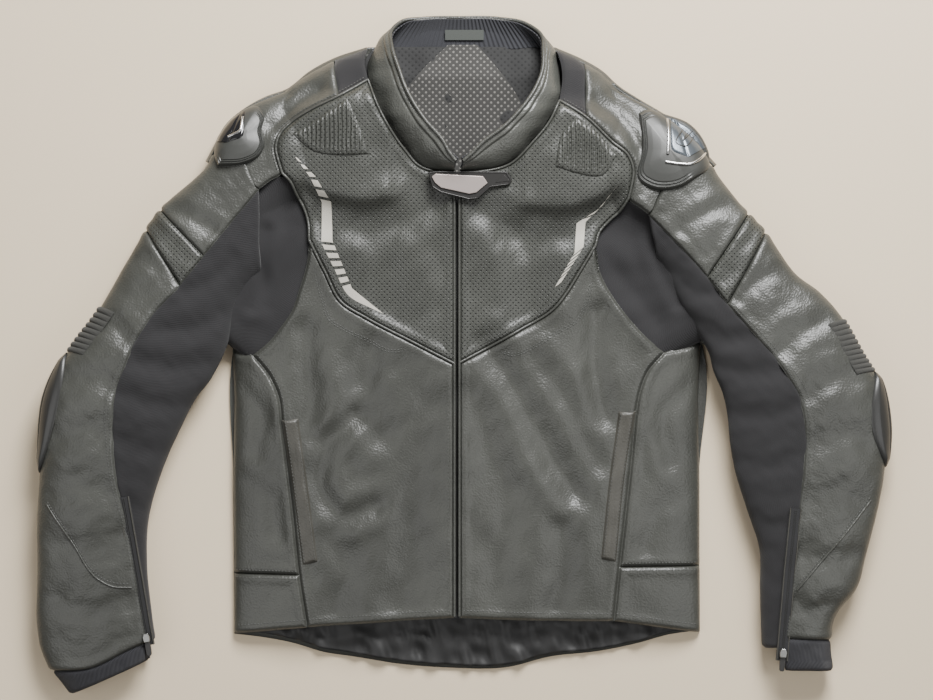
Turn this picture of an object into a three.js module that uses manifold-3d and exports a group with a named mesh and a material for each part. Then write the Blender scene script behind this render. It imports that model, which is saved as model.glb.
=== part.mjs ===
// Leather riding jacket lying on its back, front up. Millimetres, +Z up, +Y to the collar,
// X = 0 on the main zip, Z = 0 on the underside of the back panel.
import * as THREE from 'three';
import { mergeVertices } from 'three/addons/utils/BufferGeometryUtils.js';
import Module from 'manifold-3d';

const wasm = await Module();
wasm.setup();
const { Manifold, Mesh: Raw } = wasm;

// ---- driving dimensions -------------------------------------------------
const HEM_WIDTH = 508;        // across the closed front at the waist
const BODY_LENGTH = 710;      // back hem to the top of the collar
const CHEST_RISE = 47;        // top of the front at the collar end of the zip
const HEM_RISE = 29;          // top of the front at the hem
const SLEEVE_RISE = 54;       // thickness of a sleeve lying flat
const LEATHER = 2.4;          // leather with its backing
const SEAM = 0.6;             // parting between neighbouring panels
const ROOT_R = 52;            // shoulder turning radius
const ELBOW_R = { l: 84, r: 80 }; // elbow turning radius
const ZIP_HALF = 4.2;         // half of the slot between the two plackets
const SLIDER_W = 7.6;

const sx = HEM_WIDTH / 508, sy = BODY_LENGTH / 710, sz = SLEEVE_RISE / 54;
const P = (list) => list.map(([x, y]) => [x * sx, y * sy]);

// ---- plan curves, one list per seam -------------------------------------
const PIVOT = { l: P([[-229, 248]])[0], r: P([[232, 238]])[0] };
const ELBOW = { l: P([[-334, 10]])[0], r: P([[350, 16]])[0] };
const NECK = {
  l: P([[-4, 213], [-22, 213.4], [-40, 219], [-55, 235], [-70, 256], [-85, 284], [-95.5, 312], [-99, 337], [-97, 356]]),
  r: P([[4, 213], [30, 213.6], [56, 220.5], [82, 245], [99, 266], [110, 289], [113.5, 315], [111, 337], [107, 356]]),
};
const YOKE_TOP = {
  l: P([[-95.5, 312], [-126, 294], [-159, 278], [-178, 266], [-190, 253], [-194, 238], [-191, 224], [-187, 211]]),
  r: P([[113.5, 296], [138, 271], [167, 244], [184, 229], [189, 215], [187, 197], [184, 184]]),
};
const YOKE_ARM = {
  l: P([[-187, 211], [-179, 203], [-172, 188], [-165, 175], [-160, 158], [-159, 140]]),
  r: P([[184, 184], [176, 172], [164, 161], [153, 148], [149, 134]]),
};
const YOKE_LOW = {
  l: P([[-159, 140], [-142, 106], [-125, 74], [-97, 56], [-49, 31], [0, 6]]),
  r: P([[149, 134], [132, 106], [117, 82], [106, 68], [67, 43], [0, 6]]),
};
const ARMHOLE = {
  l: P([[-159, 140], [-160, 126], [-164, 106], [-170, 87], [-178, 64], [-189, 48], [-205, 29], [-221, 16]]),
  r: P([[149, 134], [151, 117], [158, 97], [171, 75], [188, 53], [206, 34], [224, 19]]),
};
const PIT = { l: P([[-236, 19], [-245, 25]]), r: P([[250, 26], [266, 31]]) };
const SIDE = {
  l: P([[-221, 16], [-203, -6], [-193, -28], [-189, -60], [-183, -110], [-177, -160], [-171, -222], [-162, -279]]),
  r: P([[224, 19], [206, -2], [198, -22], [193, -50], [189, -95], [183, -150], [176, -213], [170, -272]]),
};
const CREASE = {
  l: P([[-212, 193], [-211, 165], [-211, 135], [-213, 110], [-213, 92], [-221, 72], [-236, 55], [-243.5, 45]]),
  r: P([[205, 166], [207, 152], [214, 132], [224, 106], [242, 76], [256, 54], [266.5, 40]]),
};
const SLEEVE_SPLIT = {
  l: P([[-212, 193], [-243, 156], [-275, 117], [-296, 90], [-327, 56], [-346, 24], [-356, -1], [-365, -30], [-367, -65], [-366, -100], [-362, -128]]),
  r: P([[205, 166], [236, 135], [268, 99], [289, 71], [323, 32], [348, 1], [364, -28], [370, -48], [372, -76], [370, -112], [367, -140]]),
};
const CUFF_ZIP = { l: P([[-358, -136], [-333, -297]]), r: P([[363, -148], [350, -313]]) };
const CUFF_EDGE = {
  l: P([[-480, -330], [-438, -326], [-396, -322], [-353, -302], [-332, -292], [-300, -284]]),
  r: P([[300, -289], [340, -290], [420, -292]]),
};
// sleeve stations: outer point, inner point, half thickness
const STATIONS = {
  l: [[-186, 302, -112, 214, 18], [-230, 282, -148, 190, 23], [-256, 256, -178, 160, 26], [-272, 218, -204, 117, 27],
    [-321, 173, -234, 76, 27], [-359, 113, -247, 27, 27.5], [-388, 63, -264, -9, 28.5], [-420, 19, -281, -32, 30],
    [-444, -32, -295, -59, 30], [-450, -105, -316, -105, 28], [-454, -164, -332, -160, 26], [-454, -218, -334, -214, 24],
    [-455, -276, -329, -266, 22], [-446, -314, -326, -292, 21], [-419, -352, -327, -311, 20]],
  r: [[176, 302, 108, 202, 18], [220, 277, 150, 180, 23], [258, 246, 178, 150, 26], [281, 212, 211, 122, 27],
    [308, 177, 222, 108, 27], [336, 146, 238, 74, 27], [364, 106, 256, 43, 27.5], [392, 84, 270.5, 19, 28.5],
    [416, 56, 276, -2, 29.5], [437, 19, 286, -26, 30], [457, -16, 291, -50, 30], [465, -59, 294, -80, 29],
    [463, -99, 300, -112, 28], [457, -140, 312, -150, 27], [444, -194, 326, -194, 25], [433, -235, 327, -236, 23.5],
    [411, -264, 328, -272, 22], [405, -292, 330, -300, 21], [408, -325, 338, -324, 20]],
};
// torso sections: y, left edge, right edge
const BODY = [[-288, -243, 265], [-205, -243, 264], [-120, -244, 264], [-30, -243, 263], [60, -246, 267], [110, -252, 270],
  [150, -256, 270], [190, -258, 268], [220, -256, 262], [245, -250, 252], [268, -238, 232], [283, -224, 204],
  [297, -197, 186], [310, -181, 172], [323, -160, 158], [335, -137, 137], [344, -112, 118], [352, -92, 98]];

// ---- small geometry tools -----------------------------------------------
function body(points, faces) {
  let volume = 0;
  for (const [a, b, c] of faces) {
    const [p, q, r] = [points[a], points[b], points[c]];
    volume += p[0] * (q[1] * r[2] - q[2] * r[1]) + p[1] * (q[2] * r[0] - q[0] * r[2]) + p[2] * (q[0] * r[1] - q[1] * r[0]);
  }
  const tris = faces.flatMap(([a, b, c]) => (volume < 0 ? [a, c, b] : [a, b, c]));
  const mesh = new Raw({ numProp: 3, vertProperties: new Float32Array(points.flat()), triVerts: new Uint32Array(tris) });
  mesh.merge();
  return new Manifold(mesh);
}

function fromGeometry(geometry) {
  const g = geometry.clone();
  g.deleteAttribute('normal');
  g.deleteAttribute('uv');
  const m = mergeVertices(g, 1e-4);
  return new Manifold(new Raw({
    numProp: 3, vertProperties: new Float32Array(m.attributes.position.array), triVerts: new Uint32Array(m.index.array),
  }));
}

// closed rings of points joined into one body with both ends filled
function loft(rings) {
  const m = rings[0].length, points = rings.flat(), faces = [];
  for (let i = 0; i + 1 < rings.length; i++) {
    for (let j = 0; j < m; j++) {
      const a = i * m + j, b = i * m + (j + 1) % m, c = b + m, d = a + m;
      faces.push([a, b, c], [a, c, d]);
    }
  }
  for (const end of [0, rings.length - 1]) {
    const mid = rings[end].reduce((s, p) => [s[0] + p[0] / m, s[1] + p[1] / m, s[2] + p[2] / m], [0, 0, 0]);
    points.push(mid);
    for (let j = 0; j < m; j++) {
      const a = end * m + j, b = end * m + (j + 1) % m;
      faces.push(end ? [a, b, points.length - 1] : [b, a, points.length - 1]);
    }
  }
  return body(points, faces);
}

// a thin solid between two offsets of a grid of points, measured against the grid's normal
function sheet(cells, near, far, up = true) {
  const slope = (g) => (g[1][0][0] - g[0][0][0]) * (g[0][1][1] - g[0][0][1]) - (g[1][0][1] - g[0][0][1]) * (g[0][1][0] - g[0][0][0]);
  const k = Math.floor(cells.length / 2);
  const grid = up && slope([cells[k], cells[k + 1]]) < 0 ? cells.slice().reverse() : cells;
  const n = grid.length, m = grid[0].length;
  const at = (i, j) => new THREE.Vector3(...grid[Math.min(Math.max(i, 0), n - 1)][Math.min(Math.max(j, 0), m - 1)]);
  const points = [], faces = [];
  for (const depth of [near, far]) {
    for (let i = 0; i < n; i++) {
      for (let j = 0; j < m; j++) {
        const normal = at(i + 1, j).sub(at(i - 1, j)).cross(at(i, j + 1).sub(at(i, j - 1))).normalize();
        points.push(at(i, j).addScaledVector(normal, -depth).toArray());
      }
    }
  }
  const id = (k, i, j) => k * n * m + i * m + j;
  for (let i = 0; i + 1 < n; i++) {
    for (let j = 0; j + 1 < m; j++) {
      faces.push([id(0, i, j), id(0, i + 1, j), id(0, i + 1, j + 1)], [id(0, i, j), id(0, i + 1, j + 1), id(0, i, j + 1)]);
      faces.push([id(1, i, j), id(1, i + 1, j + 1), id(1, i + 1, j)], [id(1, i, j), id(1, i, j + 1), id(1, i + 1, j + 1)]);
    }
  }
  const edge = [];
  for (let i = 0; i < n; i++) edge.push([i, 0]);
  for (let j = 1; j < m; j++) edge.push([n - 1, j]);
  for (let i = n - 2; i >= 0; i--) edge.push([i, m - 1]);
  for (let j = m - 2; j > 0; j--) edge.push([0, j]);
  edge.forEach(([i, j], k) => {
    const [u, v] = edge[(k + 1) % edge.length];
    faces.push([id(0, i, j), id(1, i, j), id(1, u, v)], [id(0, i, j), id(1, u, v), id(0, u, v)]);
  });
  return body(points, faces);
}

function clean(points) {
  const kept = points.filter((p, i) => Math.hypot(p[0] - points[(i + points.length - 1) % points.length][0],
    p[1] - points[(i + points.length - 1) % points.length][1]) > 0.4);
  const area = kept.reduce((s, p, i) => s + p[0] * kept[(i + 1) % kept.length][1] - p[1] * kept[(i + 1) % kept.length][0], 0);
  return area < 0 ? kept.reverse() : kept;
}

function inset(points, d) {
  const ring = clean(points), n = ring.length;
  return ring.map((p, i) => {
    const a = ring[(i + n - 1) % n], b = ring[(i + 1) % n];
    const u = [p[0] - a[0], p[1] - a[1]], v = [b[0] - p[0], b[1] - p[1]];
    const lu = Math.hypot(...u), lv = Math.hypot(...v);
    const nu = [-u[1] / lu, u[0] / lu], nv = [-v[1] / lv, v[0] / lv];
    const k = d / Math.max(1 + nu[0] * nv[0] + nu[1] * nv[1], 0.35);
    return [p[0] + (nu[0] + nv[0]) * k, p[1] + (nu[1] + nv[1]) * k];
  });
}

function prism(points, low = -30, high = 160) {
  const shape = new THREE.Shape(clean(points).map(([x, y]) => new THREE.Vector2(x, y)));
  const g = new THREE.ExtrudeGeometry(shape, { depth: high - low, bevelEnabled: false });
  return fromGeometry(g.translate(0, 0, low));
}

const shrink = (points, f) => {
  const c = [0, 1].map((k) => points.reduce((t, p) => t + p[k] / points.length, 0));
  return points.map((p) => [c[0] + (p[0] - c[0]) * f, c[1] + (p[1] - c[1]) * f]);
};
const region = (points, low, high) => prism(inset(points, SEAM / 2), low, high);
const block = (x0, x1, y0, y1, z0, z1) => fromGeometry(new THREE.BoxGeometry(x1 - x0, y1 - y0, z1 - z0)
  .translate((x0 + x1) / 2, (y0 + y1) / 2, (z0 + z1) / 2));
const disc = ([x, y], r, low = -30, high = 160) => fromGeometry(new THREE.CylinderGeometry(r, r, high - low, 60)
  .rotateX(Math.PI / 2).translate(x, y, (low + high) / 2));
const arc = ([x, y], r, from, to, n) => Array.from({ length: n + 1 }, (_, i) => {
  const a = (from + (to - from) * i / n) * Math.PI / 180;
  return [x + r * Math.cos(a), y + r * Math.sin(a)];
});

const pointAlong = (line, t) => {
  const k = Math.min(t * (line.length - 1), line.length - 1.001), i = Math.floor(k), f = k - i;
  return [0, 1].map((c) => line[i][c] + (line[i + 1][c] - line[i][c]) * f);
};

// the largest piece of a cut, so that a node is always one body
function main(solid) {
  const parts = solid.decompose();
  return parts.reduce((best, p) => (p.volume() > best.volume() ? p : best), parts[0]);
}

// ---- the two soft shapes: body dome and sleeve tube ----------------------
const power = (c, n) => Math.sign(c) * Math.abs(c) ** (2 / n);
const riseAt = (y) => HEM_RISE + (CHEST_RISE - HEM_RISE) * (y / sy + 290) / 490;

function bodyAt(y) {
  const v = y / sy;
  let k = 0;
  while (k < BODY.length - 2 && BODY[k + 1][0] < v) k++;
  const t = (v - BODY[k][0]) / (BODY[k + 1][0] - BODY[k][0]);
  return [1, 2].map((c) => (BODY[k][c] + (BODY[k + 1][c] - BODY[k][c]) * t) * sx);
}

function domeRing(y, yOut, trim, low) {
  const [a, b] = bodyAt(y), mid = (a + b) / 2, half = (b - a) / 2 - trim, rise = Math.min(riseAt(y), CHEST_RISE + 1) - 3 - trim;
  const ring = [];
  for (let i = 0; i <= 16; i++) {
    const w = Math.PI * i / 16;
    ring.push([mid + half * power(Math.cos(w), 2.7), yOut, 3 + rise * power(Math.sin(w), 2.7)]);
  }
  ring.push([mid - half, yOut, low], [mid + half, yOut, low]);
  return ring;
}

function dome(trim, low) {
  const ys = BODY.map((row) => row[0] * sy);
  const rings = ys.map((y, i) => domeRing(y, i ? y - (trim > 0 && i > 8 ? trim : 0) : y - (trim > 0 ? 20 : 0), trim, low));
  return loft(rings);
}

function torsoTop(x, y) {
  const [a, b] = bodyAt(y), s = Math.abs((x - (a + b) / 2) / ((b - a) / 2));
  return 3 + (Math.min(riseAt(y), CHEST_RISE + 1) - 3) * Math.max(1 - s ** 2.7, 0) ** (1 / 2.7);
}

function station(side, k) {
  const rows = STATIONS[side], i = Math.min(Math.floor(k), rows.length - 2), t = k - i;
  const [a, b, c, d, h] = rows[i].map((v, j) => v + (rows[i + 1][j] - v) * t);
  return { out: [a * sx, b * sy], inn: [c * sx, d * sy], half: h * sz };
}

function tube(side, grow, extend = 0) {
  const last = STATIONS[side].length - 1, rings = [];
  for (let k = 0; k <= last; k++) {
    const { out, inn, half } = station(side, k);
    const c = [(out[0] + inn[0]) / 2, (out[1] + inn[1]) / 2], h = [(inn[0] - out[0]) / 2, (inn[1] - out[1]) / 2];
    const len = Math.hypot(...h), push = k === last ? extend : 0;
    const along = side === 'l' ? [h[1] / len, -h[0] / len] : [-h[1] / len, h[0] / len];
    rings.push(Array.from({ length: 16 }, (_, i) => {
      const w = 2 * Math.PI * i / 16, u = power(Math.cos(w), 2.35) * (1 + grow / len);
      return [c[0] + h[0] * u + along[0] * push, c[1] + h[1] * u + along[1] * push, half + (half + grow) * power(Math.sin(w), 2.35)];
    }));
  }
  return loft(rings);
}

function tubeTop(side, x, y) {
  let best = null;
  for (let k = 0; k <= STATIONS[side].length - 1; k += 0.02) {
    const { out, inn, half } = station(side, k);
    const c = [(out[0] + inn[0]) / 2, (out[1] + inn[1]) / 2], h = [(inn[0] - out[0]) / 2, (inn[1] - out[1]) / 2];
    const len = Math.hypot(...h), d = [x - c[0], y - c[1]];
    const off = Math.abs(d[0] * h[1] - d[1] * h[0]) / len, u = (d[0] * h[0] + d[1] * h[1]) / (len * len);
    if (Math.abs(u) < 1.3 && (!best || off < best.off)) best = { off, u, half };
  }
  return best ? best.half * (1 + Math.max(1 - Math.abs(best.u) ** 2.35, 0) ** (1 / 2.35)) : 3;
}

const SIDES = ['l', 'r'];
const sign = { l: -1, r: 1 };
const outerTube = {}, wall = {};
for (const s of SIDES) {
  outerTube[s] = tube(s, 0);
  wall[s] = outerTube[s].subtract(tube(s, -LEATHER, 30));
}
const above = block(-700, 700, -600, 600, 3, 200);
const bodySkin = dome(0, 3).add(outerTube.l).add(outerTube.r)
  .subtract(dome(LEATHER, -20)).subtract(tube('l', -LEATHER, 30)).subtract(tube('r', -LEATHER, 30)).intersect(above);

// ---- panels of the body ---------------------------------------------------
const hemLine = { l: P([[-262, -289], [-243, -287], [-162, -279], [-94, -274], [-1, -267]]), r: P([[1, -268], [60, -270], [170, -272], [265, -286], [284, -289]]) };
const outside = { l: -300 * sx, r: 300 * sx };
const bandY = { l: -221 * sy, r: -213 * sy };

function frontYoke(s) {
  const neck = NECK[s].slice(0, s === 'l' ? 7 : 6), x = sign[s] * ZIP_HALF;
  const low = [...YOKE_LOW[s].slice(1, -1), [x, (s === 'l' ? 8 : 9) * sy]];
  const edge = s === 'l' ? YOKE_TOP.l.slice(1) : YOKE_TOP.r;
  return main(bodySkin.intersect(region([[x, 213 * sy], ...neck.slice(1), ...edge, ...YOKE_ARM[s].slice(1), ...low])));
}

function frontPanel(s) {
  const x = sign[s] * ZIP_HALF, hem = s === 'l' ? hemLine.l.slice(2, -1).reverse() : hemLine.r.slice(1, 3);
  return main(bodySkin.intersect(region([[x, (s === 'l' ? 8 : 9) * sy], ...YOKE_LOW[s].slice(0, -1).reverse(), ...ARMHOLE[s].slice(1),
    ...SIDE[s].slice(1), ...hem.reverse(), [x, -267.5 * sy]])));
}

function sidePanel(s) {
  const seam = SIDE[s].slice(0, -1);
  return main(bodySkin.intersect(region([...seam, [outside[s], bandY[s]], [outside[s], PIT[s][1][1] - 2], PIT[s][1], PIT[s][0]])));
}

function hemBand(s) {
  const ends = SIDE[s].slice(-2), hem = s === 'l' ? hemLine.l.slice(1, 3) : hemLine.r.slice(2, 4).reverse();
  return main(bodySkin.intersect(region([ends[0], [outside[s], bandY[s]], [outside[s], hem[0][1]], hem[0], ends[1]])));
}

const STRETCH_EDGE = { l: P([[-126, 294], [-133, 325], [-134, 360]]), r: P([[138, 271], [138, 300], [138, 345], [138, 362]]) };

function shoulderOutline(s) {
  const top = s === 'l' ? YOKE_TOP.l.slice(1) : YOKE_TOP.r.slice(1);
  const turn = s === 'l' ? arc(PIVOT.l, ROOT_R, 287, 150, 14) : [CREASE.r[0], ...arc(PIVOT.r, ROOT_R, 242, 385, 14)];
  const join = s === 'l' ? P([[-190, 211], [-202, 204]]) : [];
  const far = [[outside[s], PIVOT[s][1] + 10], [outside[s], 380 * sy], [STRETCH_EDGE[s].at(-1)[0], 380 * sy]];
  return [...top, ...join, ...turn, ...far, ...STRETCH_EDGE[s].slice(1).reverse()];
}

const shoulderPanel = (s) => main(bodySkin.intersect(region(shoulderOutline(s))));
const shoulderPlan = (s) => prism(shoulderOutline(s));

function shoulderStretch(s) {
  const neck = s === 'l' ? NECK.l.slice(6).reverse() : [...NECK.r.slice(6).reverse(), YOKE_TOP.r[0]];
  return main(bodySkin.intersect(region([...STRETCH_EDGE[s], ...neck])));
}

function gusset(s) {
  const head = s === 'l' ? P([[-212, 193], [-202, 204], [-190, 211]]) : P([[205, 166], [197, 172], [190, 178]]);
  const a = [...head, ...YOKE_ARM[s].slice(s === 'l' ? 1 : 0), ...ARMHOLE[s].slice(1), ...PIT[s]];
  const b = CREASE[s];
  const grid = [];
  for (let i = 0; i <= 10; i++) {
    const p = pointAlong(a, i / 10), q = pointAlong(b, i / 10);
    const zp = Math.max(torsoTop(...p), tubeTop(s, ...p)), zq = tubeTop(s, ...q), fade = Math.min(1, (10 - i) / 3);
    grid.push(Array.from({ length: 4 }, (_, j) => {
      const t = j / 3, z = (zp + (zq - zp) * t) * fade + 6 * (1 - fade) - 12 * fade * 4 * t * (1 - t) * Math.min(1, i / 3);
      return [p[0] + (q[0] - p[0]) * t, p[1] + (q[1] - p[1]) * t, Math.max(z, 6)];
    }));
  }
  const plan = region([...a, ...b.slice(1).reverse()], 3);
  return main(sheet(grid, 0, 2).intersect(plan).subtract(shoulderPlan(s)));
}

// a flat strip over the zipped pocket, laid on the front between two side lines
const WELT = {
  l: { outer: P([[-189, -54], [-178, -133], [-168, -213]]), inner: P([[-171, -52], [-160, -130], [-150, -207]]) },
  r: { outer: P([[193, -44], [181, -127], [173, -209]]), inner: P([[174, -45], [163, -125], [155, -204]]) },
};

function pocketWelt(s) {
  const { outer, inner } = WELT[s], steps = 8;
  const grid = Array.from({ length: steps + 1 }, (_, i) => {
    const a = pointAlong(outer, i / steps), b = pointAlong(inner, i / steps);
    return [0, 1 / 3, 2 / 3, 1].map((t) => {
      const x = a[0] + (b[0] - a[0]) * t, y = a[1] + (b[1] - a[1]) * t;
      return [x, y, torsoTop(x, y) + 2.4];
    });
  });
  return sheet(grid, 0, 1.9);
}

// outline of everything the back layer covers, walked round from the left hem
function backOutline() {
  const left = [[-243, -288], [-244, -120], [-243, -30], [-244, 22], ...CREASE.l.slice(0, -1).reverse().map(([x, y]) => [x / sx, y / sy])];
  const right = [...CREASE.r.slice(0, -1).map(([x, y]) => [x / sx, y / sy]), [266, 30], [263, -30], [264, -120], [265, -286]];
  const shoulderL = [[-257, 262], [-246, 274], [-231, 281], [-186, 302], [-181, 310], [-160, 323], [-137, 335], [-112, 344]];
  const shoulderR = [[118, 344], [137, 335], [158, 323], [172, 310], [186, 297], [220, 277], [246, 262]];
  const hem = [[230, -291], [198, -300], [154, -309], [100, -315], [57, -326], [-8, -327], [-62, -322], [-116, -313], [-143, -310], [-180, -298]];
  return { left, right, shoulderL, shoulderR, hem };
}

function backPanel() {
  const o = backOutline();
  const plan = [...P(o.left), ...arc(PIVOT.l, ROOT_R - SEAM / 2, 287, 217, 9), ...P([[-263, 228], [-261, 245]]), ...P(o.shoulderL), ...P([[-92, 348.4], [0, 348.6], [98, 348.4]]),
    ...P(o.shoulderR), ...P([[266, 226], [270, 214]]), ...arc(PIVOT.r, ROOT_R - SEAM / 2, 322, 242, 9), ...P(o.right), ...P(o.hem)];
  return prism(inset(plan, SEAM / 2), 0, LEATHER);
}

const PROTECTOR = P([[-60, -190], [60, -190], [92, -120], [100, 20], [108, 180], [84, 236], [-84, 236], [-106, 180], [-100, 20], [-92, -120]]);

function padLevel(x, y) {
  const u = x / sx, v = y / sy, half = 112;
  const reach = Math.max(Math.abs(u) - half - 8, v - 250, -198 - v, 0);
  return 13.5 - 10.5 * Math.min(reach / 22, 1);
}

function backLining() {
  const xs = [-228, -160, -140, -120, -108, -96, 96, 108, 120, 140, 160, 248].map((x) => x * sx);
  const ys = [-322, -228, -214, -198, -186, -140, -120, -60, 20, 120, 236, 250, 262, 274, 340].map((y) => y * sy);
  const grid = xs.map((x) => ys.map((y) => [x, y, padLevel(x, y) + 1.4]));
  const plan = P([[-226, -283], [-176, -290], [-112, -306], [-60, -316], [57, -319], [100, -308], [154, -301], [230, -284], [246, -279], [246, 10],
    [214, 30], [190, 60], [172, 96], [166, 140], [176, 186], [176, 250], [150, 300], [96, 338], [-88, 338], [-140, 302],
    [-170, 262], [-182, 200], [-176, 140], [-186, 90], [-206, 40], [-226, 8]]);
  return main(sheet(grid, 0, 1.4).intersect(prism(plan)));
}

// ---- collar ----------------------------------------------------------------
const COLLAR = [
  [-2, 214, 45.8, -1, 223, 72], [-22, 214.6, 45.6, -8, 232, 72], [-39, 220.2, 45.4, -16, 246, 71], [-54, 236.2, 44.4, -34, 267, 69],
  [-69, 257, 42, -52, 296, 63], [-84, 285, 38, -63, 325, 54], [-94.4, 312.4, 30, -70, 348, 42], [-97, 335, 18, -71, 367, 26],
  [-88, 349.4, 7, -60, 379, 13], [-56, 348.6, 0.5, -38, 383, 6], [5, 348.6, 0.3, 5, 384, 4], [64, 348.6, 0.5, 46, 383, 6],
  [98, 349.4, 7, 74, 377, 13], [109.6, 335, 18, 91, 363, 26], [112, 314.6, 30, 93, 343, 42], [108.6, 289.6, 38, 91, 319, 54],
  [97.6, 267, 42, 79, 293, 63], [80.6, 246.4, 44.4, 54, 263, 69], [55, 221.8, 45.4, 28, 243, 71], [29, 214.8, 45.6, 15, 230, 72],
  [3, 214, 45.8, 7, 223, 72]];

function collar(near, far, low, high) {
  const rows = COLLAR.map(([a, b, c, d, e, f]) => Array.from({ length: 5 }, (_, j) => {
    const t = low + (high - low) * j / 4, lift = 2.2 * Math.sin(Math.PI * t);
    return [(a + (d - a) * t) * sx, (b + (e - b) * t) * sy, (c + (f - c) * t) * sz + lift * (c > 20 ? 1 : 0)];
  }));
  const trimmed = sheet(rows.reverse(), near, far, false);
  return trimmed.intersect(block(-300, 300, 213.5 * sy, 600, 0.2, 200));
}

function neckLabel() {
  const tilt = Math.atan2(3.7 * sz, 35.4 * sy);
  return fromGeometry(new THREE.BoxGeometry(42, 11, 0.8).rotateX(tilt).translate(8, 365 * sy, (0.3 + 1.75) * sz + 5.2));
}

// ---- straight zips: a frame along the line, tape, slider and pull ------------
function along(a, b) {
  const y = new THREE.Vector3(...b).sub(new THREE.Vector3(...a)).normalize();
  const x = new THREE.Vector3().crossVectors(y, new THREE.Vector3(0, 0, 1)).normalize();
  const z = new THREE.Vector3().crossVectors(x, y);
  return new THREE.Matrix4().makeBasis(x, y, z).setPosition(...a);
}

// slider whose bridge the pull hangs from; origin on the tape, y along the zip
function slider(width, y) {
  const w = width / 2;
  const shell = block(-w, w, y - 6.5, y + 6.5, 0.3, 3.6).subtract(block(-0.5, 0.5, y - 7, y + 2, 1.2, 2.6));
  const bridge = block(-1.1, 1.1, y - 5, y - 3.6, 3, 7.4).add(block(-1.1, 1.1, y + 3.6, y + 5, 3, 7.4)).add(block(-1.1, 1.1, y - 5, y + 5, 6.1, 7.4));
  return shell.add(bridge);
}

// pull with its eye round the bridge; it points along +y from the bridge
function pull(width, length, y) {
  const w = width / 2, plate = block(-w, w, y - 0.6, y + length, 4.2, 5.5);
  return plate.subtract(block(-1.6, 1.6, y + 0.7, y + 6.4, 3, 7)).subtract(block(-w + 1.4, w - 1.4, y + length - 7, y + length - 2.2, 3, 7));
}

const zipLine = [[0, -268 * sy, 0], [0, 204 * sy, 0]].map(([x, y]) => [x, y, riseAt(y) - LEATHER - 0.5]);
const zipFrame = along(...zipLine);
const zipLength = 472 * sy;
const place = (m, matrix) => m.transform(matrix.elements);

// ---- sleeves -------------------------------------------------------------------
function sleevePlans(s) {
  const split = SLEEVE_SPLIT[s], far = outside[s] * 2, cuff = CUFF_ZIP[s];
  const start = s === 'l' ? arc(PIVOT.l, ROOT_R + SEAM / 2, 287, 190, 10) : arc(PIVOT.r, ROOT_R + SEAM / 2, 242, 345, 10);
  const lead = s === 'l' ? [] : [split[0]];
  const leather = [...start, [far, start.at(-1)[1] + 40], [far, -420 * sy], [cuff[1][0] - sign[s] * 4, -420 * sy], ...cuff.slice().reverse(), ...split.slice(1).reverse(), ...lead];
  const stretch = [...split, ...cuff, [cuff[1][0] - sign[s] * 4, -420 * sy], [(s === 'l' ? -246 : 268) * sx, -420 * sy],
    [(s === 'l' ? -246 : 268) * sx, -300 * sy], [(s === 'l' ? -246 : 268) * sx, 20 * sy], ...CREASE[s].slice(1).reverse()];
  return { leather, stretch };
}

function elbowCut(s) {
  const e = ELBOW[s], d = s === 'l' ? [-0.55, -0.835] : [0.6, -0.8], n = [-d[1], d[0]];
  const corner = (a, b) => [e[0] + n[0] * a + d[0] * b, e[1] + n[1] * a + d[1] * b];
  const low = prism([corner(-260, 0), corner(260, 0), corner(260, 620), corner(-260, 620)]);
  return { fore: disc(e, ELBOW_R[s]).add(low), upper: disc(e, ELBOW_R[s] + SEAM).add(low) };
}

function strip(s, half) {
  const [a, b] = CUFF_ZIP[s], d = [b[0] - a[0], b[1] - a[1]], l = Math.hypot(...d), n = [-d[1] / l * half, d[0] / l * half];
  return [[a[0] + n[0], a[1] + n[1]], [b[0] + n[0], b[1] + n[1]], [b[0] - n[0], b[1] - n[1]], [a[0] - n[0], a[1] - n[1]]];
}

function cuffBelow(s, gap) {
  const shift = s === 'l' ? CUFF_EDGE.l : CUFF_EDGE.r;
  const line = shift.map(([x, y]) => [x, y - gap]);
  return [...line, [line.at(-1)[0], -460 * sy], [line[0][0], -460 * sy]];
}

function shellCut(s, from, to, points) {
  return main(tube(s, from).subtract(tube(s, to)).intersect(prism(points)).intersect(block(-700, 700, -600, 600, 1.2, 200)));
}

function ring(s, k0, k1, u0, u1) {
  const at = (k, u) => {
    const { out, inn } = station(s, k), t = (1 + u) / 2;
    return [out[0] + (inn[0] - out[0]) * t, out[1] + (inn[1] - out[1]) * t];
  };
  const n = Math.max(2, Math.ceil((k1 - k0) * 2)), a = [], b = [];
  for (let i = 0; i <= n; i++) {
    a.push(at(k0 + (k1 - k0) * i / n, u0));
    b.push(at(k0 + (k1 - k0) * i / n, u1));
  }
  return [...a, ...b.reverse()];
}

function accordion(s) {
  const [k0, k1] = s === 'l' ? [5.7, 6.75] : [8.15, 9.45];
  let solid = tube(s, 3.6).subtract(tube(s, 0.4)).intersect(prism(ring(s, k0, k1, -1.2, -0.62)));
  for (let i = 0; i < 5; i++) {
    const k = k0 + (k1 - k0) * (i + 0.7) / 5.4;
    solid = solid.subtract(tube(s, 4).subtract(tube(s, 1.8)).intersect(prism(ring(s, k, k + (k1 - k0) * 0.05, -1.3, -0.5))));
  }
  return main(solid.intersect(block(-700, 700, -600, 600, 2, 200)));
}

const CAP = {
  l: P([[-257, 219], [-261, 230], [-260, 247], [-249, 266], [-236, 279], [-214, 284], [-207, 276], [-209, 258], [-206, 240], [-211, 230], [-228, 221]]),
  r: P([[196, 277], [203, 281], [228, 276], [252, 266], [268, 246], [273, 230], [270, 216], [256, 206], [240, 196], [206, 195], [194, 203], [198, 238]]),
};

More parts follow.
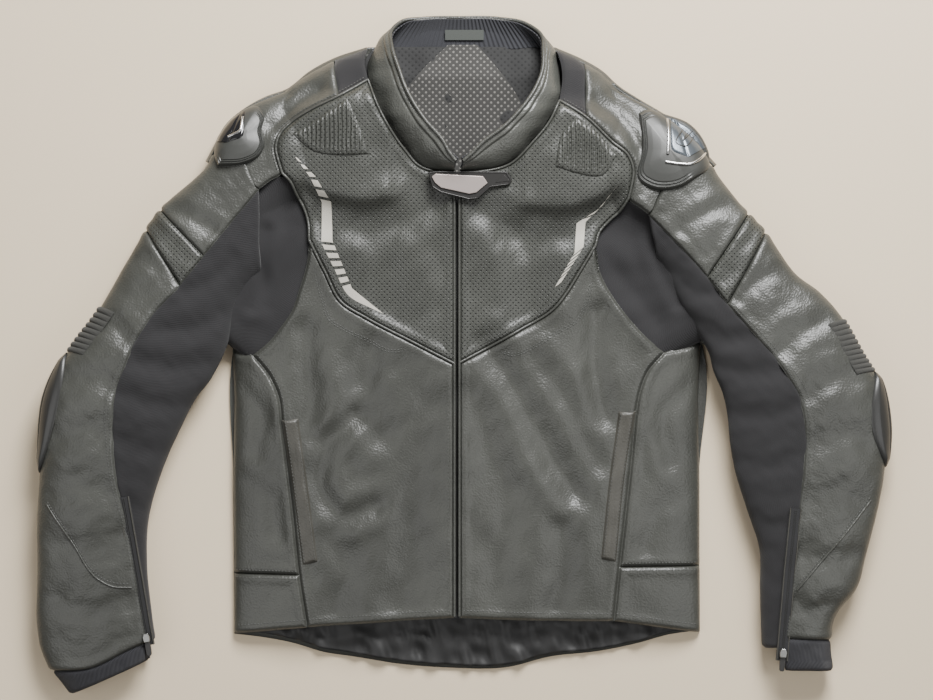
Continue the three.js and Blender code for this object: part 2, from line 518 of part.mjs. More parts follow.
function cap(s) {
  const round = prism(CAP[s]);
  const base = tube(s, 5.2).subtract(tube(s, 0.4)).intersect(round);
  const rim = tube(s, 7.4).subtract(tube(s, 4)).intersect(round).subtract(prism(shrink(CAP[s], 0.74)));
  return main(base.add(rim).subtract(dome(-0.4, -20)).intersect(block(-700, 700, -600, 600, 9, 200)));
}

function shoulderProtector(s) {
  const pad = tube(s, -LEATHER - 0.4).subtract(tube(s, -LEATHER - 8)).intersect(disc(PIVOT[s], ROOT_R - 2.5));
  return main(pad.subtract(bodySkin).intersect(block(-700, 700, -600, 600, 6, 200)));
}

function sleeve(s, add) {
  const plans = sleevePlans(s), cut = elbowCut(s), skin = wall[s];
  const leather = skin.intersect(prism(inset(plans.leather, SEAM / 2))).subtract(disc(PIVOT[s], ROOT_R + SEAM / 2));
  const stretch = skin.intersect(prism(inset(plans.stretch, SEAM / 2))).subtract(disc(PIVOT[s], ROOT_R + SEAM / 2));
  const cuffCut = prism(cuffBelow(s, -SEAM)), cuffIn = prism(cuffBelow(s, 0)), slot = prism(strip(s, 5.6));
  const top = block(-700, 700, -600, 600, 24 * sz, 200);
  add(`sleeve_upper_${s}`, main(leather.subtract(cut.upper)), 'leather');
  add(`sleeve_stretch_${s}`, main(stretch.subtract(cut.upper)), 'stretch');
  const band = s === 'l' ? P([[-350, 198], [-270, 121], [-293, 92], [-380, 160]]) : P([[350, 206], [266, 101], [289, 74], [378, 176]]);
  add(`perforated_band_${s}`, main(tube(s, 1.6).subtract(tube(s, 0.35)).intersect(prism(band)).intersect(block(-700, 700, -600, 600, 2, 200))), 'perforated');
  add(`forearm_leather_${s}`, main(leather.intersect(cut.fore).subtract(cuffCut).subtract(slot.intersect(top))), 'leather');
  add(`forearm_stretch_${s}`, main(stretch.intersect(cut.fore).subtract(cuffCut).subtract(slot.intersect(top))), 'stretch');
  add(`cuff_band_${s}`, main(skin.intersect(cuffIn).subtract(slot.intersect(top))), 'binding');
  add(`elbow_accordion_${s}`, accordion(s), 'stretch');
  const slide = s === 'l' ? [6.95, 9.0] : [9.75, 12.1];
  add(`elbow_slider_${s}`, shellCut(s, 6.4, 0.4, ring(s, slide[0], slide[1], -1.3, -0.78)), 'rubber');
  const pad = s === 'l' ? [5.9, 9.1] : [8.4, 12.2];
  add(`elbow_protector_${s}`, main(tube(s, -LEATHER - 0.4).subtract(tube(s, -LEATHER - 6)).intersect(prism(ring(s, pad[0], pad[1], -1.1, -0.35)))), 'foam');
  cuffZip(s, add);
}

function cuffZip(s, add) {
  const [a, b] = CUFF_ZIP[s], z = (p) => tubeTop(s, ...p) - 0.8, frame = along([...b, z(b)], [...a, z(a)]);
  const length = Math.hypot(a[0] - b[0], a[1] - b[1], z(a) - z(b));
  add(`cuff_zip_tape_${s}`, place(block(-5.2, 5.2, 0.6, length - 0.6, -1.6, 0), frame), 'tape');
  add(`cuff_zip_slider_${s}`, place(slider(7, 9), frame), 'metal');
  add(`cuff_zip_pull_${s}`, place(pull(6, 20, 0).rotate([0, 0, 180]).translate([0, 9, 0]), frame), 'metal');
}

// ---- collar tab with its badge and stud ---------------------------------------------
const TAB_Z = riseAt(200 * sy) + 7;
const tabPlan = P([[-31, 212], [-20, 212.6], [54, 212.4], [59, 204], [57, 199], [36, 196], [22, 183], [13, 182], [-18, 190], [-27, 196]]);
const badgePlan = P([[-28, 210.5], [-24, 212], [29, 209], [35, 201], [22, 186], [14, 184.5], [-18, 192.5], [-25, 198]]);

function collarTab() {
  const slab = prism(tabPlan, TAB_Z, TAB_Z + 3), foot = block(-31 * sx, -26 * sx, 200 * sy, 211.5 * sy, riseAt(204 * sy) + 0.3, TAB_Z + 1);
  const recess = prism(P([[38, 209], [51, 209.6], [55, 203], [40, 200]]), TAB_Z + 2, TAB_Z + 6);
  return slab.add(foot).subtract(recess);
}

// ---- assembly ---------------------------------------------------------------------------
const MATERIALS = {
  leather: [0x2b2d2c, 0.55, 0], perforated: [0x303231, 0.6, 0], stretch: [0x23252c, 0.9, 0], binding: [0x1b1f2b, 0.85, 0],
  knit: [0x1d2433, 0.95, 0], lining: [0x1a1a1c, 0.95, 0], foam: [0x2f5a78, 0.9, 0], rubber: [0x17181a, 0.5, 0],
  metal: [0xb9bcc0, 0.3, 1], cap: [0x3c3f43, 0.45, 0], badge: [0x9c8f8a, 0.4, 0.3], tape: [0x131417, 0.9, 0], label: [0x70767c, 0.8, 0],
};
const looks = {};
for (const [name, [color, roughness, metalness]] of Object.entries(MATERIALS)) looks[name] = new THREE.MeshStandardMaterial({ name, color, roughness, metalness });

const jacket = new THREE.Group();
jacket.name = 'riding_jacket';
function add(name, solid, look) {
  const m = solid.simplify(0.2).getMesh(), g = new THREE.BufferGeometry();
  const xyz = new Float32Array(m.numVert * 3);
  for (let i = 0; i < m.numVert; i++) for (let c = 0; c < 3; c++) xyz[i * 3 + c] = m.vertProperties[i * m.numProp + c];
  g.setAttribute('position', new THREE.BufferAttribute(xyz, 3));
  g.setIndex(new THREE.BufferAttribute(new Uint32Array(m.triVerts), 1));
  const mesh = new THREE.Mesh(g, looks[look]);
  mesh.name = name;
  jacket.add(mesh);
}

for (const s of SIDES) {
  add(`front_yoke_${s}`, frontYoke(s), 'perforated');
  add(`front_panel_${s}`, frontPanel(s), 'leather');
  add(`side_panel_${s}`, sidePanel(s), 'leather');
  add(`hem_band_${s}`, hemBand(s), 'leather');
  add(`shoulder_panel_${s}`, shoulderPanel(s), 'leather');
  add(`shoulder_stretch_${s}`, shoulderStretch(s), 'stretch');
  add(`underarm_gusset_${s}`, gusset(s), 'stretch');
  add(`shoulder_cap_${s}`, cap(s), 'cap');
  add(`shoulder_protector_${s}`, shoulderProtector(s), 'foam');
  add(`pocket_welt_${s}`, pocketWelt(s), 'leather');
  sleeve(s, add);
}
add('back_panel', backPanel(), 'leather');
add('back_lining', backLining(), 'lining');
add('back_protector', prism(PROTECTOR, 2.8, 12.6), 'foam');
add('collar_shell', main(collar(0, 2.2, 0, 1)), 'leather');
add('collar_lining', main(collar(2.7, 4.2, 0.06, 0.97)), 'knit');
add('neck_label', neckLabel(), 'label');
add('main_zip_tape_l', place(block(-14, -0.25, 0, zipLength, -1.4, 0), zipFrame), 'tape');
add('main_zip_tape_r', place(block(0.25, 14, 0, zipLength, -1.4, 0), zipFrame), 'tape');
add('main_zip_slider', place(slider(SLIDER_W, zipLength - 16), zipFrame), 'metal');
add('main_zip_pull', place(pull(6.4, 20, zipLength - 16), zipFrame), 'metal');
add('collar_tab', collarTab(), 'leather');
add('collar_tab_badge', prism(badgePlan, TAB_Z + 3.2, TAB_Z + 4.8), 'badge');
add('collar_stud', fromGeometry(new THREE.CylinderGeometry(5, 6, 6.2, 20).rotateX(Math.PI / 2)
  .translate(47 * sx, 205 * sy, riseAt(205 * sy) + 3.5)), 'metal');

export default jacket;
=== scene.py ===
"""Riding jacket in charcoal leather, lying on its back with its front up.

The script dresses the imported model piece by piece, in the order the jacket is put together.
Plan places are in millimetres in the model's frame: X = 0 on the main zip, Y to the collar, Z up.
"""

import bpy
import numpy as np
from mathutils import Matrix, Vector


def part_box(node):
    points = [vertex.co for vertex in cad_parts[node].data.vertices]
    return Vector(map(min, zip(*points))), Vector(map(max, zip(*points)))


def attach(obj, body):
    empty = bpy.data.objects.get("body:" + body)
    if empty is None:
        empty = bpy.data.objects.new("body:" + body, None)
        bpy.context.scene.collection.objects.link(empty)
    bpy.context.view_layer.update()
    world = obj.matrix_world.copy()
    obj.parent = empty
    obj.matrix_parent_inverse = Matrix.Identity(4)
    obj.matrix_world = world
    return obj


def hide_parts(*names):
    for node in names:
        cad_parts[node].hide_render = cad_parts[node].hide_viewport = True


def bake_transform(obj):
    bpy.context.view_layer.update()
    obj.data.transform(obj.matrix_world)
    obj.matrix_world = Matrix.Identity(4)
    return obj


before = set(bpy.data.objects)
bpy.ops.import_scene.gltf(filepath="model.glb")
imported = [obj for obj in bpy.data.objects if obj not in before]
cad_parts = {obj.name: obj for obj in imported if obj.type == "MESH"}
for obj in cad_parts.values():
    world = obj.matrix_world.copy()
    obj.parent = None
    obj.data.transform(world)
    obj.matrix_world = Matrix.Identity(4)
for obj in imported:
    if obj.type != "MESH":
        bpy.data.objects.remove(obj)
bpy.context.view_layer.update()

# ---------------------------------------------------------------------------
# Back of the jacket: one large leather panel that carries everything else.
# It is 2.4 mm cowhide cut longer than the front, with a turned hem, and its
# edges are sewn to the side panels and the shoulders.
MM = 0.001
SIDES = ("l", "r")


def grid_mesh(name, points, material, up=True):
    """A smooth mesh with one quad for each cell of a rows x columns x 3 array in millimetres.

    Its UV map is the distance in metres along the columns and down the rows, so cloth patterns follow it.
    With up, the grid is turned over if most of it would face down."""
    rows, cols = points.shape[:2]
    across = np.cross(points[1:, :-1] - points[:-1, :-1], points[:-1, 1:] - points[:-1, :-1])
    if up and across[..., 2].sum() < 0:
        points = points[::-1]
    index = np.arange(rows * cols).reshape(rows, cols)
    quads = np.stack([index[:-1, :-1], index[1:, :-1], index[1:, 1:], index[:-1, 1:]], -1).reshape(-1, 4)
    mesh = bpy.data.meshes.new(name)
    mesh.vertices.add(rows * cols)
    mesh.vertices.foreach_set("co", (points * MM).astype(np.float32).ravel())
    mesh.loops.add(quads.size)
    mesh.loops.foreach_set("vertex_index", quads.ravel().astype(np.int32))
    mesh.polygons.add(len(quads))
    mesh.polygons.foreach_set("loop_start", np.arange(0, quads.size, 4, dtype=np.int32))
    mesh.update(calc_edges=True)
    mesh.shade_smooth()
    along = np.linalg.norm(np.diff(points, axis=1), axis=2).cumsum(1)
    down = np.linalg.norm(np.diff(points, axis=0), axis=2).mean(1).cumsum()
    u = np.hstack([np.zeros((rows, 1)), along]) * MM
    v = np.tile(np.r_[0, down][:, None], (1, cols)) * MM
    uv = mesh.uv_layers.new(name="UVMap")
    uv.data.foreach_set("uv", np.stack([u, v], -1).reshape(-1, 2)[quads.ravel()].astype(np.float32).ravel())
    mesh.materials.append(material)
    piece = bpy.data.objects.new(name, mesh)
    bpy.context.scene.collection.objects.link(piece)
    return piece


def thicken(piece, millimetres, offset=-1.0):
    """Gives a surface its wall, grown inwards from the face that shows."""
    wall = piece.modifiers.new("wall", "SOLIDIFY")
    wall.thickness = millimetres * MM
    wall.offset = offset
    return piece


def dress(piece, body, slot, *nodes):
    """The piece rides on a body and stands for the CAD nodes named, which are hidden. The slot is not used.
    """
    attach(piece, body)
    if nodes:
        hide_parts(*nodes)
    return piece


def curve(points, count):
    """Evenly spaced points on a cubic through chosen places. Each tangent is the chord of its neighbours."""
    p = np.array(points, float)
    t = np.r_[0, np.cumsum(np.linalg.norm(np.diff(p, axis=0), axis=1))]
    slope = np.gradient(p, t, axis=0) if len(p) > 2 else np.tile((p[1] - p[0]) / t[-1], (2, 1))
    fine = np.linspace(0, t[-1], count * 4)
    i = np.clip(np.searchsorted(t, fine, side="right") - 1, 0, len(p) - 2)
    h = (t[i + 1] - t[i])[:, None]
    f = (fine[:, None] - t[i][:, None]) / h
    line = ((2 * f**3 - 3 * f**2 + 1) * p[i] + (f**3 - 2 * f**2 + f) * h * slope[i]
            + (3 * f**2 - 2 * f**3) * p[i + 1] + (f**3 - f**2) * h * slope[i + 1])
    run = np.r_[0, np.cumsum(np.linalg.norm(np.diff(line, axis=0), axis=1))]
    even = np.linspace(0, run[-1], count)
    return np.stack([np.interp(even, run, line[:, k]) for k in range(p.shape[1])], 1)


def ruled(first, second, columns):
    """Straight rungs between two lines, closer together near both ends of each rung."""
    t = (0.5 - 0.5 * np.cos(np.linspace(0, np.pi, columns)))[None, :, None]
    return first[:, None] * (1 - t) + second[:, None] * t


def reach(x, y, line):
    """Distance of each point from a line, measured to the nearest place on its segments."""
    a, d = line[:-1], np.diff(line, axis=0)
    p = np.stack([x.ravel(), y.ravel()], 1)
    best = np.zeros(len(p))
    for start in range(0, len(p), 20000):
        q = p[start:start + 20000, None] - a[None]
        f = np.clip((q * d).sum(2) / np.maximum((d * d).sum(1), 1e-9), 0, 1)
        best[start:start + 20000] = np.linalg.norm(q - f[..., None] * d, axis=2).min(1)
    return best.reshape(x.shape)


def bump(nodes, links, height, shader, strength, distance):
    """Feeds a height pattern to a shader's normal."""
    node = nodes.new("ShaderNodeBump")
    node.inputs["Strength"].default_value = strength
    node.inputs["Distance"].default_value = distance
    links.new(height, node.inputs["Height"])
    links.new(node.outputs["Normal"], shader.inputs["Normal"])
    return node


def plain(name, color, roughness, metallic=0.0):
    """A finish of one even colour."""
    material = bpy.data.materials.new(name)
    material.use_nodes = True
    shader = material.node_tree.nodes["Principled BSDF"]
    shader.inputs["Base Color"].default_value = (*color, 1)
    shader.inputs["Roughness"].default_value = roughness
    shader.inputs["Metallic"].default_value = metallic
    return material


def two_tone(material, pattern, low, high):
    """Mixes two colours by a pattern and feeds them to the shader's colour. The second may be a socket."""
    nodes, links = material.node_tree.nodes, material.node_tree.links
    tone = nodes.new("ShaderNodeMix")
    tone.data_type = "RGBA"
    tone.inputs["A"].default_value = (*low, 1)
    if isinstance(high, tuple):
        tone.inputs["B"].default_value = (*high, 1)
    else:
        links.new(high, tone.inputs["B"])
    links.new(pattern, tone.inputs["Factor"])
    links.new(tone.outputs["Result"], nodes["Principled BSDF"].inputs["Base Color"])


def leather(name, dark, light, roughness, grain):
    """Milled cowhide: pebbles from the edges of Voronoi cells about 1.6 mm across over softer noise,
    and a colour that wanders between two tones where the finish has worn."""
    material = plain(name, dark, roughness)
    nodes, links = material.node_tree.nodes, material.node_tree.links
    shader = nodes["Principled BSDF"]
    place = nodes.new("ShaderNodeTexCoord").outputs["Object"]
    pebble = nodes.new("ShaderNodeTexVoronoi")
    pebble.feature = "SMOOTH_F1"
    pebble.inputs["Scale"].default_value = 520
    links.new(place, pebble.inputs["Vector"])
    crease = nodes.new("ShaderNodeTexNoise")
    crease.inputs["Scale"].default_value = 240
    crease.inputs["Detail"].default_value = 5
    links.new(place, crease.inputs["Vector"])
    total = nodes.new("ShaderNodeMath")
    total.operation = "MULTIPLY_ADD"
    total.inputs[1].default_value = 0.45
    links.new(crease.outputs["Fac"], total.inputs[0])
    links.new(pebble.outputs["Distance"], total.inputs[2])
    bump(nodes, links, total.outputs[0], shader, grain, 0.0009)
    wear = nodes.new("ShaderNodeTexNoise")
    wear.inputs["Scale"].default_value = 14
    wear.inputs["Detail"].default_value = 6
    links.new(place, wear.inputs["Vector"])
    two_tone(material, wear.outputs["Fac"], dark, light)
    return material


COWHIDE = leather("cowhide", (0.023, 0.0235, 0.0205), (0.060, 0.0615, 0.054), 0.40, 0.42)
BACK_HEM = [(-243, -288), (-211, -292), (-180, -298), (-143, -309), (-116, -313), (-62, -322), (-8, -326.5),
            (57, -326), (100, -315), (154, -309), (198, -300), (230, -291), (265, -286)]
BACK_LEFT = [(-243, -288), (-244, -120), (-243.5, 25), (-236, 55), (-213, 92), (-211, 165), (-226, 205),
             (-262, 228), (-256, 256), (-230, 281), (-186, 302), (-137, 337), (-97, 352)]
BACK_RIGHT = [(265, -286), (264, -120), (265, 34), (256, 54), (224, 106), (205, 166), (228, 196),
              (268, 214), (256, 248), (220, 277), (172, 310), (137, 337), (106, 352)]
back_plan = ruled(curve(BACK_LEFT, 120), curve(BACK_RIGHT, 120), 90)
hem_line = curve(BACK_HEM, 90)
drop = np.interp(back_plan[..., 0], hem_line[:, 0], hem_line[:, 1]) + 288
back_plan[..., 1] += drop * np.clip((-180 - back_plan[..., 1]) / 108, 0, 1) ** 1.5
back_edge = np.vstack([back_plan[:, 0], back_plan[-1], back_plan[::-1, -1], back_plan[0][::-1]])
back_rise = 2.6 + 0.8 * np.exp(-(reach(*back_plan.transpose(2, 0, 1), back_edge) / 3.0) ** 2)
back = grid_mesh("back_leather", np.dstack([back_plan, back_rise]), COWHIDE)
dress(thicken(back, 2.2), "jacket_body", "leather", "back_panel")

# ---------------------------------------------------------------------------
# Lining of the back: polyester mesh over the pocket of the back protector.
# It shows inside the neck and along the longer back hem, where it is plain
# black satin gathered in small creases by the hem seam.
DIAGONAL = 0.785


def ripple(x, y, length, seed):
    """Soft unevenness between about -1 and 1: the mean of sine waves in random directions."""
    rng = np.random.default_rng(seed)
    angle, phase = rng.uniform(0, np.pi, 9), rng.uniform(0, 2 * np.pi, 9)
    pitch = 2 * np.pi / (length * rng.uniform(0.7, 1.6, 9))
    waves = [np.sin((x * np.cos(a) + y * np.sin(a)) * k + f) for a, k, f in zip(angle, pitch, phase)]
    return np.mean(waves, 0) * 2.2


def lattice(material, cells):
    """Distance from the nearest place of a square lattice set diagonally, with so many places to a metre."""
    nodes, links = material.node_tree.nodes, material.node_tree.links
    turn = nodes.new("ShaderNodeMapping")
    turn.inputs["Rotation"].default_value = (0, 0, DIAGONAL)
    links.new(nodes.new("ShaderNodeTexCoord").outputs["Object"], turn.inputs["Vector"])
    cell = nodes.new("ShaderNodeTexVoronoi")
    cell.voronoi_dimensions = "2D"
    cell.inputs["Randomness"].default_value = 0.0
    cell.inputs["Scale"].default_value = cells
    links.new(turn.outputs["Vector"], cell.inputs["Vector"])
    return cell.outputs["Distance"]


def mesh_cloth(name, color, dots):
    """Knitted air mesh: openings 5.3 mm apart, in another colour where the foam shows through."""
    material = plain(name, color, 0.85)
    nodes, links = material.node_tree.nodes, material.node_tree.links
    away = lattice(material, 190)
    hole = nodes.new("ShaderNodeMath")
    hole.operation = "LESS_THAN"
    hole.inputs[1].default_value = 0.23
    links.new(away, hole.inputs[0])
    two_tone(material, hole.outputs[0], color, dots)
    bump(nodes, links, away, nodes["Principled BSDF"], 0.5, 0.0006)
    return material


SATIN = plain("black_satin", (0.013, 0.013, 0.013), 0.52)
AIR_MESH = mesh_cloth("air_mesh", (0.028, 0.027, 0.025), (0.13, 0.125, 0.115))
lining_x = np.linspace(-226, 246, 200)
lining_y = np.linspace(-318, 350, 260)
x, y = np.meshgrid(lining_x, lining_y)
pad = np.clip((np.maximum(np.abs(x) - 118, y - 252) + 20) / 26, 0, 1)
pad = np.maximum(pad, np.clip((-196 - y) / 22, 0, 1))
rise = 15.4 - 10.4 * pad * pad * (3 - 2 * pad)
low_edge = np.interp(x, hem_line[:, 0], hem_line[:, 1]) + 5
y_hem = np.where(y < -180, -180 + (y + 180) / 138 * (-180 - low_edge), y)
gather = np.clip((-205 - y_hem) / 40, 0, 1)
rise = rise + gather * (2.6 + 3.2 * ripple(x, y_hem * 0.3, 34, 5) + 1.8 * ripple(x * 0.5 + y_hem, x, 22, 8))
rise = np.maximum(rise, 3.6)
shoulder = np.interp(y, [-320, 20, 90, 140, 200, 260, 300, 350], [226, 222, 186, 160, 176, 168, 130, 92])
lining = grid_mesh("back_lining_satin", np.dstack([x * shoulder / 226, y_hem, rise]), SATIN)
dress(thicken(lining, 0.9), "jacket_body", "lining", "back_lining")


def neck_drop(plan):
    """How far the lining sinks towards the collar seam: 9 mm, over 34 mm of its length."""
    return 9 * np.clip((plan[..., 1] - 318) / 34, 0, 1)


SIDE_MESH = mesh_cloth("side_mesh", (0.014, 0.014, 0.014), (0.003, 0.003, 0.003))
side_plan = ruled(curve([(-88, 352), (-96, 320), (-94, 280), (-70, 240), (-20, 204)], 60),
                  curve([(98, 352), (108, 320), (106, 280), (80, 240), (28, 204)], 60), 90)
side_rise = 15.9 + 1.5 * ripple(side_plan[..., 0], side_plan[..., 1], 40, 4) - neck_drop(side_plan)
neck_sides = grid_mesh("neck_sides", np.dstack([side_plan, side_rise]), SIDE_MESH)
dress(thicken(neck_sides, 1.0), "jacket_body", "lining")
mesh_left = curve([(-10, 354), (-34, 330), (-56, 304), (-74, 278), (-74, 240), (-44, 214), (-10, 200)], 80)
mesh_right = curve([(22, 354), (42, 330), (64, 300), (80, 262), (82, 236), (50, 214), (20, 200)], 80)
mesh_plan = ruled(mesh_left, mesh_right, 60)
mesh_rise = 17.6 - neck_drop(mesh_plan) + 1.2 * ripple(mesh_plan[..., 0], mesh_plan[..., 1], 70, 3)
neck_mesh = grid_mesh("neck_mesh", np.dstack([mesh_plan, mesh_rise]), AIR_MESH)
dress(thicken(neck_mesh, 1.0), "jacket_body", "lining")

# ---------------------------------------------------------------------------
# Front of the body: the shape that the yokes, fronts and sides share.
# The two halves close on the zip and round down to the side folds; soft
# hide bulges over the chest and creases where it was last folded.
FRONT_EDGES = np.array([(-288, -243, 265), (-205, -243, 264), (-120, -244, 264), (-30, -243, 263),
                        (60, -246, 267), (110, -252, 270), (150, -256, 270), (190, -258, 268),
                        (220, -256, 262), (245, -250, 252), (268, -238, 232), (283, -224, 204),
                        (297, -197, 186), (310, -181, 172), (323, -160, 158), (335, -137, 137),
                        (344, -112, 118), (352, -92, 98)], float)
SLEEVE_STATIONS = {"l": np.array([(-186, 302, -112, 214, 18), (-230, 282, -148, 190, 23),
                                  (-256, 256, -178, 160, 26), (-272, 218, -204, 117, 27),
                                  (-321, 173, -234, 76, 27), (-359, 113, -247, 27, 27.5),
                                  (-388, 63, -264, -9, 28.5), (-420, 19, -281, -32, 30),
                                  (-444, -32, -295, -59, 30), (-450, -105, -316, -105, 28),
                                  (-454, -164, -332, -160, 26), (-454, -218, -334, -214, 24),
                                  (-455, -276, -329, -266, 22), (-446, -314, -326, -292, 21),
                                  (-419, -352, -327, -311, 20)], float),
                   "r": np.array([(176, 302, 108, 202, 18), (220, 277, 150, 180, 23),
                                  (258, 246, 178, 150, 26), (281, 212, 211, 122, 27),
                                  (308, 177, 222, 108, 27), (336, 146, 238, 74, 27),
                                  (364, 106, 256, 43, 27.5), (392, 84, 270.5, 19, 28.5),
                                  (416, 56, 276, -2, 29.5), (437, 19, 286, -26, 30),
                                  (457, -16, 291, -50, 30), (465, -59, 294, -80, 29),
                                  (463, -99, 300, -112, 28), (457, -140, 312, -150, 27),
                                  (444, -194, 326, -194, 25), (433, -235, 327, -236, 23.5),
                                  (411, -264, 328, -272, 22), (405, -292, 330, -300, 21),
                                  (408, -325, 338, -324, 20)], float)}
BODY_POWER, SLEEVE_POWER = 2.7, 2.35
HIDE_WALL = 1.6


def station(side, k):
    """Outer point, inner point and half thickness of a sleeve at station k, on a cubic through them all."""
    table = SLEEVE_STATIONS[side]
    k = np.clip(k, 0, len(table) - 1)
    i = np.minimum(k.astype(int), len(table) - 2)
    f = (k - i)[..., None]
    slope = np.gradient(table, axis=0)
    row = ((2 * f**3 - 3 * f**2 + 1) * table[i] + (f**3 - 2 * f**2 + f) * slope[i]
           + (3 * f**2 - 2 * f**3) * table[i + 1] + (f**3 - f**2) * slope[i + 1])
    return row[..., 0:2], row[..., 2:4], row[..., 4]


def sleeve_place(side, x, y):
    """Station and share across (-1 outer edge, 1 inner edge) of the sleeve below each plan point: the
    nearest station line, moved to where the line through the point would cross."""
    steps = np.linspace(0, len(SLEEVE_STATIONS[side]) - 1, 150)
    outer, inner, _ = station(side, steps)
    middle, half = (outer + inner) / 2, (inner - outer) / 2
    p = np.stack([x.ravel(), y.ravel()], 1)[:, None] - middle[None]
    length = np.linalg.norm(half, axis=1)
    off = (p[..., 0] * half[:, 1] - p[..., 1] * half[:, 0]) / length
    share = (p * half[None]).sum(2) / length**2
    off = np.where(np.abs(share) < 1.3, off, 1e6)
    best, every = np.abs(off).argmin(1), np.arange(len(off))
    near, after, before = off[every, best], np.minimum(best + 1, len(steps) - 1), np.maximum(best - 1, 0)
    other = np.where(near * off[every, after] < 0, after, before)
    part = np.clip(near / np.where(near == off[every, other], 1, near - off[every, other]), 0, 1)
    k = steps[best] + part * (steps[other] - steps[best])
    outer, inner, _ = station(side, k)
    half = (inner - outer) / 2
    share = ((np.stack([x.ravel(), y.ravel()], 1) - (outer + inner) / 2) * half).sum(1) / (half**2).sum(1)
    return k.reshape(x.shape), share.reshape(x.shape), np.abs(near).reshape(x.shape)


def sleeve_skin(side, x, y):
    """Top of the sleeve above each plan point: a superellipse across each station, level past its folds."""
    k, share, off = sleeve_place(side, x, y)
    arch = np.clip(1 - np.abs(share) ** SLEEVE_POWER, 0, None) ** (1 / SLEEVE_POWER)
    top = station(side, k)[2] * (1 + arch)
    return top, (off < 12) & (share > -1.12) & (share < 1)


def sleeve_rise(side, x, y):
    """Top of the sleeve, and the floor beside it."""
    rise = np.full(x.shape, 3.0)
    near = x < -95 if side == "l" else x > 95
    top, inside = sleeve_skin(side, x[near], y[near])
    rise[near] = np.where(inside, top, 3)
    return rise


def body_rise(x, y):
    """Top of the body above each plan point: a superellipse between the side folds, rising to the collar."""
    left, right = (np.interp(y, FRONT_EDGES[:, 0], FRONT_EDGES[:, c]) for c in (1, 2))
    share = np.abs((x - (left + right) / 2) / ((right - left) / 2))
    rise = np.minimum(29 + 18 * (y + 290) / 490, 48) - 3
    return 3 + rise * np.clip(1 - share**BODY_POWER, 0, None) ** (1 / BODY_POWER)


# Creases of the front: where each runs, how wide it is and how deep. The chest stands out in two pads.
FRONT_CREASES = [([(-172, 176), (-146, 160), (-108, 152), (-62, 160), (-30, 176)], 15, 2.4),
                 ([(30, 170), (60, 150), (104, 143), (146, 156), (170, 172)], 15, 2.4),
                 ([(-66, 150), (-74, 110), (-60, 66)], 20, 2.0), ([(62, 140), (84, 100), (78, 60)], 18,
        2.2), ([(34, 26), (62, -20), (96, -80), (128, -132)], 15, 3.4),
                 ([(14, -30), (42, -90), (54, -160), (48, -230)], 18, 2.4),
                 ([(84, 10), (120, -40), (150, -100)], 12, 1.8), ([(-164, 40), (-158, -20), (-160, -70)],
        12, 2.4), ([(-112, -50), (-142, -84), (-148, -128), (-124, -158), (-92, -148)], 11, 3.0),
                 ([(-30, -40), (-44, -110), (-40, -190), (-56, -250)], 20, 2.2),
                 ([(-96, 20), (-104, -30), (-84, -70)], 15, 2.0), ([(150, 60), (148, 10), (160, -50)], 12,
        2.6), ([(-232, -20), (-214, -44), (-218, -90)], 9, 2.2),
                 ([(-236, -120), (-206, -136), (-196, -180)], 9, 1.8),
                 ([(252, -20), (226, -50), (232, -100)], 10, 2.4), ([(256, -140), (222, -150), (206, -190)],
        10, 1.8), ([(-134, -180), (-120, -216), (-130, -262)], 12, 1.8),
                 ([(110, -170), (120, -214), (106, -258)], 13, 1.8),
                 ([(-150, 300), (-172, 284), (-196, 262)], 8, 1.8), ([(150, 290), (176, 268), (196, 240)],
        8, 1.8), ([(168, 300), (196, 276), (214, 250)], 7, 1.6), ]
CHEST_PADS = [(-100, 240, 94, 64, 12.0), (102, 230, 92, 62, 12.0)]


def valleys(x, y, creases):
    """Height left by creases: each a smooth valley that pushes up a lower ridge on both sides."""
    total = np.zeros(x.shape)
    for points, width, depth in creases:
        line = curve(points, 24)
        near = ((x > line[:, 0].min() - 4 * width) & (x < line[:, 0].max() + 4 * width)
                & (y > line[:, 1].min() - 4 * width) & (y < line[:, 1].max() + 4 * width))
        away = reach(x[near], y[near], line)
        ridge = 0.45 * np.exp(-((away - 1.9 * width) / width) ** 2)
        total[near] += depth * (ridge - np.exp(-(away / width) ** 2))
    return total


def front_rise(x, y):
    """Top of the closed front: the body or a sleeve root, whichever is higher, with its pads and creases."""
    rise = body_rise(x, y)
    for side in SIDES:
        rise = np.maximum(rise, sleeve_rise(side, x, y))
    steep = np.clip((rise - 14) / 18, 0, 1)
    for px, py, wide, high, depth in CHEST_PADS:
        open_chest = np.clip((np.abs(x) - 34) / 40, 0, 1) ** 1.5
        share = np.hypot((x - px) / wide, (y - py) / high)
        rise = rise + steep * open_chest * depth / (1 + np.exp((share - 0.95) * 16))
    calm = np.clip(np.abs(x) / 14, 0.25, 1)
    fine = 2.2 * ripple(x * 1.2, y * 0.8, 105, 11) + 0.9 * ripple(x, y, 40, 12) + 0.2 * ripple(x, y, 15, 13)
    return rise + steep * (1.35 * valleys(x, y, FRONT_CREASES) + calm * fine)


def sewn_panel(name, first, second, material, slot, nodes, columns=70, seams=None, swell=1.2, lift=0.0,
               rise=front_rise):
    """One cut panel on the front: rungs between its two edges, laid on the front's rise. The hide turns
    down 2.6 mm into each seam within 2 mm of it and swells a little just inside, as lapped leather does."""
    plan = ruled(first, second, columns)
    x, y = plan[..., 0], plan[..., 1]
    away = np.min([reach(x, y, line) for line in (seams or (first, second))], 0)
    level = rise(x, y) + lift + swell * np.exp(-((away - 6) / 5) ** 2) - 2.6 * np.exp(-(away / 1.9) ** 2)
    piece = thicken(grid_mesh(name, np.dstack([plan, level]), material), HIDE_WALL)
    return dress(piece, "jacket_body", slot, *nodes)


THREAD = plain("thread", (0.075, 0.077, 0.072), 0.6)


